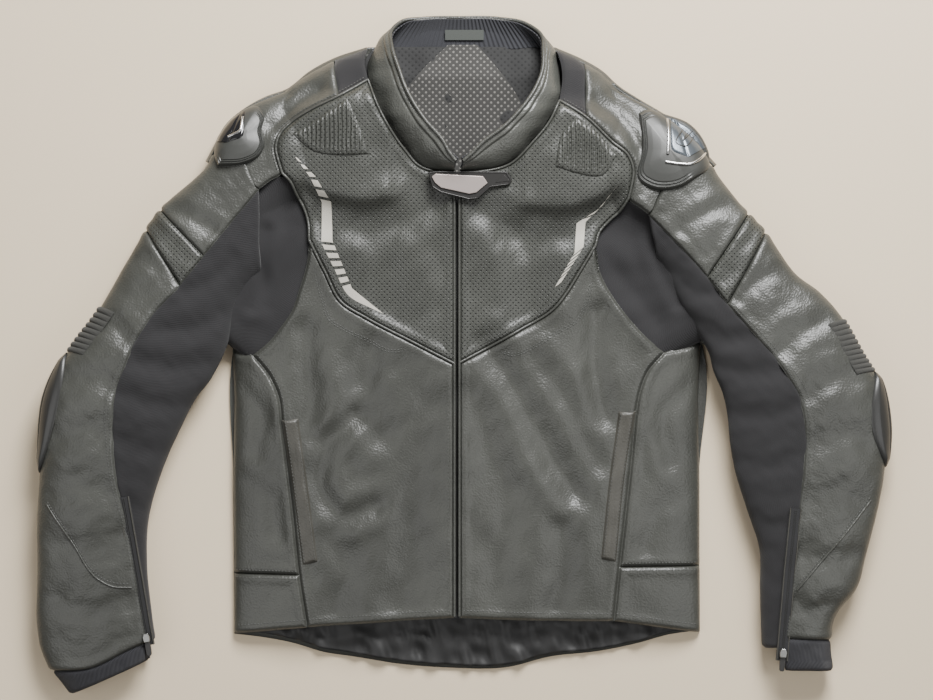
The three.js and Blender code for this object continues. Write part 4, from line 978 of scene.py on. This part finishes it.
FOREARM = {}
for side in SIDES:
    upper, _ = sleeve_strip(f"upper_arm_hide_{side}", side, ROOT[side], BAND[side], hide_edges(side),
                            COWHIDE, ARM_CREASES, 80)
    dress(thicken(upper, HIDE_WALL), f"arm_{side}", "leather", f"sleeve_upper_{side}")
    band, _ = sleeve_strip(f"arm_band_{side}", side, BAND[side], BAND_LOW[side], hide_edges(side),
                           PERFORATED, ARM_CREASES, 40, lift=0.6)
    dress(thicken(band, HIDE_WALL), f"arm_{side}", "perforated_leather", f"perforated_band_{side}")
    lower, places = sleeve_strip(f"forearm_hide_{side}", side, BAND_LOW[side], CUFF_TOP[side],
                                 hide_edges(side), COWHIDE, ARM_CREASES, 280)
    bend(thicken(lower, 1.5), side, "leather", f"forearm_leather_{side}")
    rows = [places[4:-4, column] + (0, 0, 0.3) for column in (8, 11)]
    seam = stitches(f"sleeve_stitches_{side}", rows, body=None)
    bend(seam, side, "leather")
    cloth, inside = sleeve_strip(f"inner_arm_cloth_{side}", side, CLOTH_START[side], WEAVE_END[side],
                                 cloth_edges(side), STRETCH, CLOTH_CREASES, 240,
                            lift=-1.4, swell=0.3)
    bend(thicken(cloth, CLOTH_WALL), side, "stretch", f"forearm_stretch_{side}", f"sleeve_stretch_{side}")
    FOREARM[side] = (places[100::2, 6:60:2], inside[110:, 50:-6])

# ---------------------------------------------------------------------------
# Forearm seams: a curved seam joins the long outer panel of hide to the wrist
# panel. It shows as a thin ridge with one row of stitches above it.
WRIST_SEAM = {"l": [(-441, -144), (-412, -186), (-384, -225), (-371, -232), (-350, -234)],
              "r": [(445, -140), (419, -172), (393, -203), (365, -236)]}


def settle(plan, side, lift):
    """Lays plan places on the forearm, at the mean height of its eight nearest places."""
    top = np.vstack([p.reshape(-1, 3) for p in FOREARM[side]])
    top = top[top[:, 2] > 28]
    spots = plan.reshape(-1, 2)
    away = np.linalg.norm(spots[:, None] - top[None, :, :2], axis=2)
    near = np.argpartition(away, 8, axis=1)[:, :8]
    weight = 1 / (np.take_along_axis(away, near, 1) + 0.8)
    level = (weight * top[near, 2]).sum(1) / weight.sum(1) + lift
    return np.column_stack([spots, level]).reshape(*plan.shape[:-1], 3)


for side in SIDES:
    path = settle(curve(WRIST_SEAM[side], 120), side, 0.1)
    dress(grid_mesh(f"wrist_seam_{side}", cord_points(path, 1.1), COWHIDE, up=False), f"forearm_{side}",
          "leather")
    dress(stitches(f"wrist_stitches_{side}", [path + (0, 4.5, 0.9)], body=None), f"forearm_{side}", "leather")

# ---------------------------------------------------------------------------
# Cuffs: a band of ribbed elastic binding sewn round the end of each sleeve,
# open at the wrist zip.
CUFF = stretch_cloth("elastic_binding", (0.014, 0.014, 0.019), ribs=210)
for side in SIDES:
    last = len(SLEEVE_STATIONS[side]) - 1.0
    strip, _ = sleeve_strip(f"cuff_{side}", side, CUFF_TOP[side], last, hide_edges(side), CUFF, ARM_CREASES,
                            24, lift=-0.5, swell=0.2)
    dress(thicken(strip, 2.4), f"forearm_{side}", "binding", f"cuff_band_{side}")

# ---------------------------------------------------------------------------
# Elbows: a stretch accordion above a hard slider, on the outside of the bend.
# The accordion is sewn in ribs 7 mm apart and the slider is a moulded shell.
ACCORDION = stretch_cloth("accordion_cloth", (0.026, 0.026, 0.023))
SHELL = plain("slider_shell", (0.022, 0.022, 0.021), 0.36)
ACCORDION_AT = {"l": (5.9, 7.0, 9), "r": (8.05, 9.62, 11)}
SLIDER_AT = {"l": (7.0, 9.1), "r": (9.6, 12.15)}
for side in SIDES:
    first, last, count = ACCORDION_AT[side]
    t, w = np.linspace(0, 1, 190)[:, None], np.linspace(0, 1, 60)[None]
    k = first + (last - first) * t + 0.16 * (w - 0.5)
    angle = (0.75 + 0.5 * w) * np.pi + 0 * k
    ribs = np.abs(np.sin(count * np.pi * t)) ** 0.6 * np.sin(np.pi * w) ** 0.35
    points = outward(side, k, wrap(side, k, angle), 0.5 + 2.3 * ribs)
    accordion = sleeve_mesh(f"accordion_{side}", side, k, points, ACCORDION)
    dress(accordion, f"forearm_{side}", "stretch", f"elbow_accordion_{side}")
    first, last = SLIDER_AT[side]
    t, w = np.linspace(0, 1, 110)[:, None], np.linspace(0, 1, 70)[None]
    k = first + (last - first) * t + 0 * w
    angle = (1 - 0.24 * np.sin(np.pi * t) ** 0.5 + 0.48 * w * np.sin(np.pi * t) ** 0.5) * np.pi
    edge = np.minimum(np.sin(np.pi * t) * 3.0, np.sin(np.pi * w) * 3.0)
    groove = 1.6 * np.exp(-((w - 0.34) / 0.030) ** 2) * np.clip(np.sin(np.pi * t) * 3 - 0.4, 0, 1)
    points = outward(side, k, wrap(side, k, angle), 0.5 + 4.2 * np.clip(edge, 0, 1) ** 0.6 - groove)
    slider = sleeve_mesh(f"elbow_shell_{side}", side, k, points, SHELL)
    dress(slider, f"forearm_{side}", "slider_shell", f"elbow_slider_{side}")

# ---------------------------------------------------------------------------
# Shoulder caps: moulded shells over the points of the shoulders, sewn on by
# a doubled piped edge, each with a polished plate and bright trim on top.
CAP = {"l": [(-257, 219), (-261, 230), (-260, 247), (-249, 266), (-236, 279), (-214, 284), (-207, 276),
             (-209, 258), (-206, 240), (-211, 230), (-228, 221), (-257, 219)],
       "r": [(196, 277), (203, 281), (228, 276), (252, 266), (268, 246), (273, 230), (270, 216), (256, 206),
             (240, 196), (206, 195), (194, 203), (198, 238), (196, 277)]}
CAP_SEWN = {"l": (0.75, -0.66), "r": (-0.85, -0.53)}
CAP_LOOK = plain("cap_moulding", (0.034, 0.035, 0.032), 0.42)
PLATE = {"l": plain("black_plate", (0.008, 0.008, 0.009), 0.16),
         "r": plain("smoke_plate", (0.10, 0.115, 0.13), 0.3, 0.6)}
CHROME = plain("bright_trim", (0.62, 0.62, 0.62), 0.22, 1.0)


def cap_rise(side, x, y):
    """Height of a cap: the shoulder under it plus a profile by the share of the way from the cap's middle
    to its outline. The sewn side has two piped ridges, the other rolls straight off."""
    outline = curve(CAP[side], 200)
    middle = outline.mean(0)
    ray, size = np.arctan2(*(outline - middle).T[::-1]), np.hypot(*(outline - middle).T)
    dx, dy = x - middle[0], y - middle[1]
    share = np.hypot(dx, dy) / np.interp(np.arctan2(dy, dx), ray, size, period=2 * np.pi)
    places = [0, 0.3, 0.6, 0.78, 0.815, 0.85, 0.885, 0.92, 0.96, 1.0]
    piped = np.interp(share, places, [9.0, 8.3, 7.0, 5.9, 4.7, 6.0, 4.6, 6.0, 4.2, -0.6])
    plain_edge = np.interp(share, places, [9.0, 8.8, 8.0, 7.0, 6.7, 6.3, 5.7, 5.0, 3.8, 1.0])
    toward = (dx * CAP_SEWN[side][0] + dy * CAP_SEWN[side][1]) / np.maximum(np.hypot(dx, dy), 1e-6)
    sewn = np.clip((toward + 0.25) / 0.3, 0, 1)
    return np.maximum(sleeve_skin(side, x, y)[0], body_rise(x, y)) + plain_edge + (piped - plain_edge) * sewn


CAP_PLATE = {"l": ([(-228, 278), (-228, 262), (-229, 251), (-245, 244)],
                   [(-232, 279), (-246, 268), (-254, 256), (-259, 246)]),
             "r": ([(231, 272), (229, 250), (230, 236), (247, 228)], [(236, 271), (254, 260), (264, 248),
        (268, 240)])}
CAP_TRIM = {"l": [[(-230, 272), (-230.5, 264), (-232, 257), (-238, 253), (-245, 250)]],
            "r": [[(226.5, 270), (226.5, 250), (225.5, 231)], [(223, 223), (236, 221), (250, 221),
        (260, 226), (268, 234)]]}
CAP_GROOVE = {"l": [], "r": [[(243, 259), (235, 243), (244, 240), (258, 255)],
                             [(248, 256), (243, 247), (254, 258)]]}
for side in SIDES:
    outline = curve(CAP[side], 190)
    middle = outline.mean(0)
    shares = np.r_[1.0, np.linspace(1, 0.76, 60), np.linspace(0.75, 0.0, 40)][:, None, None]
    plan = middle + (outline - middle)[None] * shares
    level = cap_rise(side, plan[..., 0], plan[..., 1])
    level[0] = np.maximum(level[0] - 12, 12)
    cap = grid_mesh(f"cap_{side}", np.dstack([plan, level]), CAP_LOOK)
    dress(cap, "jacket_body", "cap", f"shoulder_cap_{side}")
    plan = ruled(*(curve(line, 60) for line in CAP_PLATE[side]), 50)
    away = reach(*plan.transpose(2, 0, 1), np.vstack([curve(line, 60) for line in CAP_PLATE[side]]))
    level = cap_rise(side, plan[..., 0], plan[..., 1]) + 1.5 * np.clip(away / 2.5, 0, 1) ** 0.5 - 0.3
    dress(grid_mesh(f"cap_plate_{side}", np.dstack([plan, level]), PLATE[side]), "jacket_body", "cap")
    cords = [(line, 1.5, CHROME) for line in CAP_TRIM[side]]
    cords += [(line, 0.6, SHELL) for line in CAP_GROOVE[side]]
    for i, (line, radius, material) in enumerate(cords):
        run = curve(line, 60)
        path = np.column_stack([run, cap_rise(side, run[:, 0], run[:, 1]) + (0.5 if radius > 1 else 1.2)])
        dress(grid_mesh(f"cap_trim_{side}_{i}", cord_points(path, radius), material, up=False),
              "jacket_body", "metal")

# ---------------------------------------------------------------------------
# Collar: a stand of soft hide 40 mm high, with a ribbed knit inside. The
# front ends stand up beside the zip and the back lies flat.
COLLAR = np.array([(-2.4, 214, 45.8, -1, 223, 72), (-22, 214.6, 45.6, -8, 232, 72),
                   (-39, 220.2, 45.4, -16, 246, 71), (-54, 236.2, 44.4, -34, 267, 69),
                   (-69, 257, 42, -52, 296, 63), (-84, 285, 38, -63, 325, 54),
                   (-94.4, 312.4, 30, -70, 348, 42), (-97, 335, 18, -71, 367, 26),
                   (-88, 349.4, 7, -60, 379, 13), (-56, 348.6, 1.5, -38, 383, 6),
                   (5, 348.6, 1.2, 5, 384, 5), (64, 348.6, 1.5, 46, 383, 6), (98, 349.4, 7, 74, 377, 13),
                   (109.6, 335, 18, 91, 363, 26), (112, 314.6, 30, 93, 343, 42),
                   (108.6, 289.6, 38, 91, 319, 54), (97.6, 267, 42, 79, 293, 63),
                   (80.6, 246.4, 44.4, 54, 263, 69), (55, 221.8, 45.4, 28, 243, 71),
                   (29, 214.8, 45.6, 15, 230, 72), (3, 214, 45.8, 7, 223, 72)], float)
collar_run = curve(COLLAR, 260)


def pushed(points, amount):
    """A grid moved against its own normals by an amount in millimetres."""
    normal = normals(points)
    return points - normal / np.linalg.norm(normal, axis=2, keepdims=True) * amount[..., None]


def collar_face(low, high, columns, belly, inward):
    """The stand between two shares of its height: straight rungs from base to top that swell outwards by
    the belly, moved inwards by the hide's thickness for the knit."""
    t = np.linspace(low, high, columns)[None, :, None]
    points = collar_run[:, None, :3] * (1 - t) + collar_run[:, None, 3:] * t
    return pushed(points, belly * np.sin(np.pi * t[..., 0]) - inward)


hide_face = collar_face(0, 1, 60, 3.2, 0)
x, y = hide_face[..., 0], hide_face[..., 1]
height = np.linspace(0, 1, 60)[None]
change = 1.3 * ripple(x, y, 46, 51) + 0.5 * ripple(x, y, 20, 52)
change = change + np.exp(-((height - 0.86) / 0.05) ** 2) - 0.8 * np.exp(-((height - 0.78) / 0.03) ** 2)
hide_face = pushed(hide_face, change)
hide_face[..., 2] = np.maximum(hide_face[..., 2], 0.8)
# The collar's hide is a lighter copy of the cowhide: painted light, standing in for the highlights the stand
# catches.
COLLAR_HIDE_PAINTED_LIGHT = leather("collar_cowhide_painted_light", (0.036, 0.037, 0.033), (0.088, 0.090, 0.080), 0.36, 0.42)
collar = grid_mesh("collar_hide", hide_face, COLLAR_HIDE_PAINTED_LIGHT, up=False)
dress(thicken(collar, 2.2, 1.0), "jacket_body", "leather", "collar_shell")
top_line = collar_run[:, 3:]
dress(grid_mesh("collar_edge", cord_points(top_line, 2.0), COWHIDE, up=False), "jacket_body", "leather")
KNIT = stretch_cloth("ribbed_knit", (0.017, 0.0175, 0.022), ribs=68, way="Y")
knit_face = collar_face(0.05, 0.97, 40, 3.0, 3.4)
knit_face[..., 2] = np.maximum(knit_face[..., 2], 3.4)
knit = grid_mesh("collar_knit", knit_face[::-1], KNIT, up=False)
dress(thicken(knit, 1.4), "jacket_body", "knit", "collar_lining")

# ---------------------------------------------------------------------------
# Collar tab: a cast frame that closes the collar over the zip, with a bare
# satin badge plate, a sunk triangle at its free end and a press stud below.


def slab(name, plan, low, high, material, bevel, axes=None):
    """A flat plate with a plan outline between two heights, its edges rounded by the bevel. The axes are
    the origin and the three directions it is drawn in, the model's own if none are given."""
    plan = np.array(plan, float)
    turn = np.roll(plan, -1, 0)
    if (plan[:, 0] * turn[:, 1] - turn[:, 0] * plan[:, 1]).sum() < 0:
        plan = plan[::-1]
    count = len(plan)
    points = np.vstack([np.column_stack([plan, np.full(count, z)]) for z in (low, high)])
    if axes is not None:
        points = axes[0] + points @ np.array(axes[1:])
    faces = [tuple(range(count))[::-1], tuple(range(count, 2 * count))]
    faces += [(i, (i + 1) % count, count + (i + 1) % count, count + i) for i in range(count)]
    mesh = bpy.data.meshes.new(name)
    mesh.from_pydata((points * MM).tolist(), [], faces)
    mesh.shade_smooth()
    mesh.materials.append(material)
    piece = bpy.data.objects.new(name, mesh)
    bpy.context.scene.collection.objects.link(piece)
    rounding = piece.modifiers.new("rounding", "BEVEL")
    rounding.width = bevel * MM
    rounding.segments = 3
    rounding.harden_normals = True
    return piece


def paint(material, *nodes):
    """Gives the finish to CAD nodes that are shown as they are."""
    for node in nodes:
        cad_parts[node].data.materials.clear()
        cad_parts[node].data.materials.append(material)


FRAME = plain("cast_frame", (0.030, 0.029, 0.028), 0.34, 0.4)
BADGE = plain("satin_badge", (0.36, 0.31, 0.29), 0.38, 0.5)
NICKEL = plain("dark_nickel", (0.30, 0.30, 0.29), 0.3, 1.0)
TAB = [(-31, 212), (-20, 213), (54, 212.4), (59, 204), (57, 199), (36, 196), (22, 183), (13, 182),
       (-18, 190), (-27, 196)]
TAB_MIDDLE = (12, 200)
PLATE_PLAN = [(-27, 206.8), (-23, 210), (28, 207.4), (33, 200), (21, 189.8), (13.4, 188.3), (-17, 195),
              (-23.6, 200.4)]
frame_slab = slab("tab_frame", TAB, 54.0, 57.0, FRAME, 1.1)
dress(frame_slab, "neck_tab", "badge", "collar_tab")
badge = slab("tab_plate", PLATE_PLAN, 56.6, 58.8, BADGE, 0.9)
dress(badge, "neck_tab", "badge", "collar_tab_badge")
triangle = slab("tab_triangle", [(41, 200.4), (50, 209.6), (56.4, 202.4)], 56.8, 57.5, FRAME, 0.3)
dress(triangle, "neck_tab", "badge")
corners = np.array(TAB + [TAB[0]], float)
run = np.r_[0, np.cumsum(np.hypot(*np.diff(corners, axis=0).T))]
even = np.linspace(0, run[-1], 160)
rim = np.column_stack([np.interp(even, run, corners[:, c]) for c in (0, 1)] + [np.full(160, 57.0)])
rim[:, :2] = (rim[:, :2] - TAB_MIDDLE) * (0.965, 0.93) + TAB_MIDDLE
dress(grid_mesh("tab_rim", cord_points(rim, 0.8), FRAME, up=False), "neck_tab", "badge")
paint(NICKEL, "collar_stud")
paint(FRAME, "main_zip_slider", "main_zip_pull")

# ---------------------------------------------------------------------------
# Zips: moulded coil on woven tape. The main one shows only as a dark line;
# the wrist ones lie on the tops of the cuffs, closed, with a dark pull each.
TAPE = stretch_cloth("zip_tape", (0.012, 0.012, 0.013))
COIL = plain("coil", (0.045, 0.045, 0.043), 0.38, 0.3)
LABEL = plain("woven_label", (0.045, 0.050, 0.045), 0.8)
FOAM = plain("armour_foam", (0.020, 0.021, 0.022), 0.9)
paint(FOAM, "back_protector")
for side in SIDES:
    paint(FOAM, f"shoulder_protector_{side}", f"elbow_protector_{side}")
paint(TAPE, "main_zip_tape_l", "main_zip_tape_r")
paint(LABEL, "neck_label")
SLIDER_PLAN = [(-3.2, -4.6), (3.2, -4.6), (3.8, 1), (2.4, 4.8), (-2.4, 4.8), (-3.8, 1)]
PULL_PLAN = [(-2.2, 9.6), (2.2, 9.6), (3.1, 0), (2.8, -8), (1.6, -9.8), (-1.6, -9.8), (-2.8, -8), (-3.1, 0)]
CUFF_ZIP = {"l": [(-333, -297), (-346, -214), (-358, -136)], "r": [(350, -313), (356, -230), (363, -148)]}
main_line = np.array([(0, y, 26.91 + 0.03674 * (y + 268) + 0.4) for y in np.linspace(-264, 180, 300)])
coils = stitches("main_coil", [main_line + (0.75, 0, 0), main_line + (-0.75, 0.9, 0)], body=None, pitch=1.8)
coils.data.materials[0] = COIL
dress(coils, "jacket_body", "tape")
for side in SIDES:
    path = settle(curve(CUFF_ZIP[side], 120), side, 0)
    path[:, 2] = np.convolve(np.pad(path[:, 2], 12, mode="edge"), np.ones(25) / 25, mode="valid") + 2.6
    plan = np.stack([beside(path[:, :2], d) for d in np.linspace(-6.5, 6.5, 15)], 1)
    level = path[:, 2:] - 0.2 + np.interp(np.linspace(-1, 1, 15), [-1, -0.9, 0.9, 1], [-3.2, 0, 0, -3.2])
    tape = grid_mesh(f"cuff_tape_{side}", np.dstack([plan, level]), TAPE)
    dress(tape, f"forearm_{side}", "tape", f"cuff_zip_tape_{side}")
    rows = [np.column_stack([beside(path[:, :2], d), path[:, 2] + 0.2]) for d in (-0.9, 0.9)]
    teeth = stitches(f"cuff_coil_{side}", rows, body=None, pitch=1.9)
    teeth.data.materials[0] = COIL
    dress(teeth, f"forearm_{side}", "tape")
    for d in (-5.6, 5.6):
        edge = np.column_stack([beside(path[:, :2], d), path[:, 2] + 0.2])
        binding = grid_mesh(f"cuff_tape_edge_{side}_{int(d)}", cord_points(edge, 0.7), WELT_HIDE, up=False)
        dress(binding, f"forearm_{side}", "leather")
    low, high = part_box(f"cuff_zip_slider_{side}")
    ahead = np.append(np.array(CUFF_ZIP[side][2]) - CUFF_ZIP[side][0], 0.0)
    ahead /= np.linalg.norm(ahead)
    middle = np.array([(low.x + high.x) / 2, (low.y + high.y) / 2, low.z]) * 1000
    axes = (middle, np.cross(ahead, (0, 0, 1)), ahead, np.array((0, 0, 1.0)))
    tall = (high.z - low.z) * 1000
    body = slab(f"cuff_slider_body_{side}", SLIDER_PLAN, 0.2, tall, NICKEL, 0.8, axes)
    dress(body, f"cuff_slider_{side}", "metal", f"cuff_zip_slider_{side}")
    low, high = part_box(f"cuff_zip_pull_{side}")
    ahead_at = np.array([(low.x + high.x) / 2, (low.y + high.y) / 2, low.z]) * 1000
    axes = (ahead_at, np.cross(ahead, (0, 0, 1)), ahead, np.array((0, 0, 1.0)))
    tall = (high.z - low.z) * 1000
    pull = slab(f"cuff_pull_plate_{side}", PULL_PLAN, 0.1, tall - 0.1, FRAME, 0.6, axes)
    dress(pull, f"cuff_pull_{side}", "metal", f"cuff_zip_pull_{side}")

# ---------------------------------------------------------------------------
# Floor, light and camera: a plain pale floor under soft studio light, from far
# behind the collar and from both sides, and a camera straight above the jacket.
FLOOR = plain("floor", (0.66, 0.55, 0.40), 0.9)
floor = grid_mesh("floor", np.array([[(-6000, -6000, 0), (6000, -6000, 0)],
                                     [(-6000, 6000, 0), (6000, 6000, 0)]], float), FLOOR)
world = bpy.data.worlds.new("studio")
world.use_nodes = True
world.node_tree.nodes["Background"].inputs["Color"].default_value = (1, 0.98, 0.95, 1)
world.node_tree.nodes["Background"].inputs["Strength"].default_value = 0.24
bpy.context.scene.world = world
for name, place, size, power in (("key", (0.45, 1.55, 1.35), 0.9, 117),
                                 ("left_fill", (-1.1, -0.5, 1.7), 1.5, 12),
                                ("right_fill", (1.2, -0.5, 1.6), 1.3, 11)):
    light = bpy.data.lights.new(name, "AREA")
    light.size = size
    light.energy = power
    lamp = bpy.data.objects.new(name, light)
    lamp.location = place
    direction = -np.array(place)
    tilt = np.arctan2(np.hypot(direction[0], direction[1]), -direction[2])
    lamp.rotation_euler = (tilt, 0, np.arctan2(direction[0], -direction[1]) + np.pi)
    bpy.context.scene.collection.objects.link(lamp)

view = bpy.data.cameras.new("camera")
view.lens = 36 * 2.57 / 1.008
camera = bpy.data.objects.new("camera", view)
camera.location = (0.0103, 0.0216, 2.6)
bpy.context.scene.collection.objects.link(camera)
bpy.context.scene.camera = camera
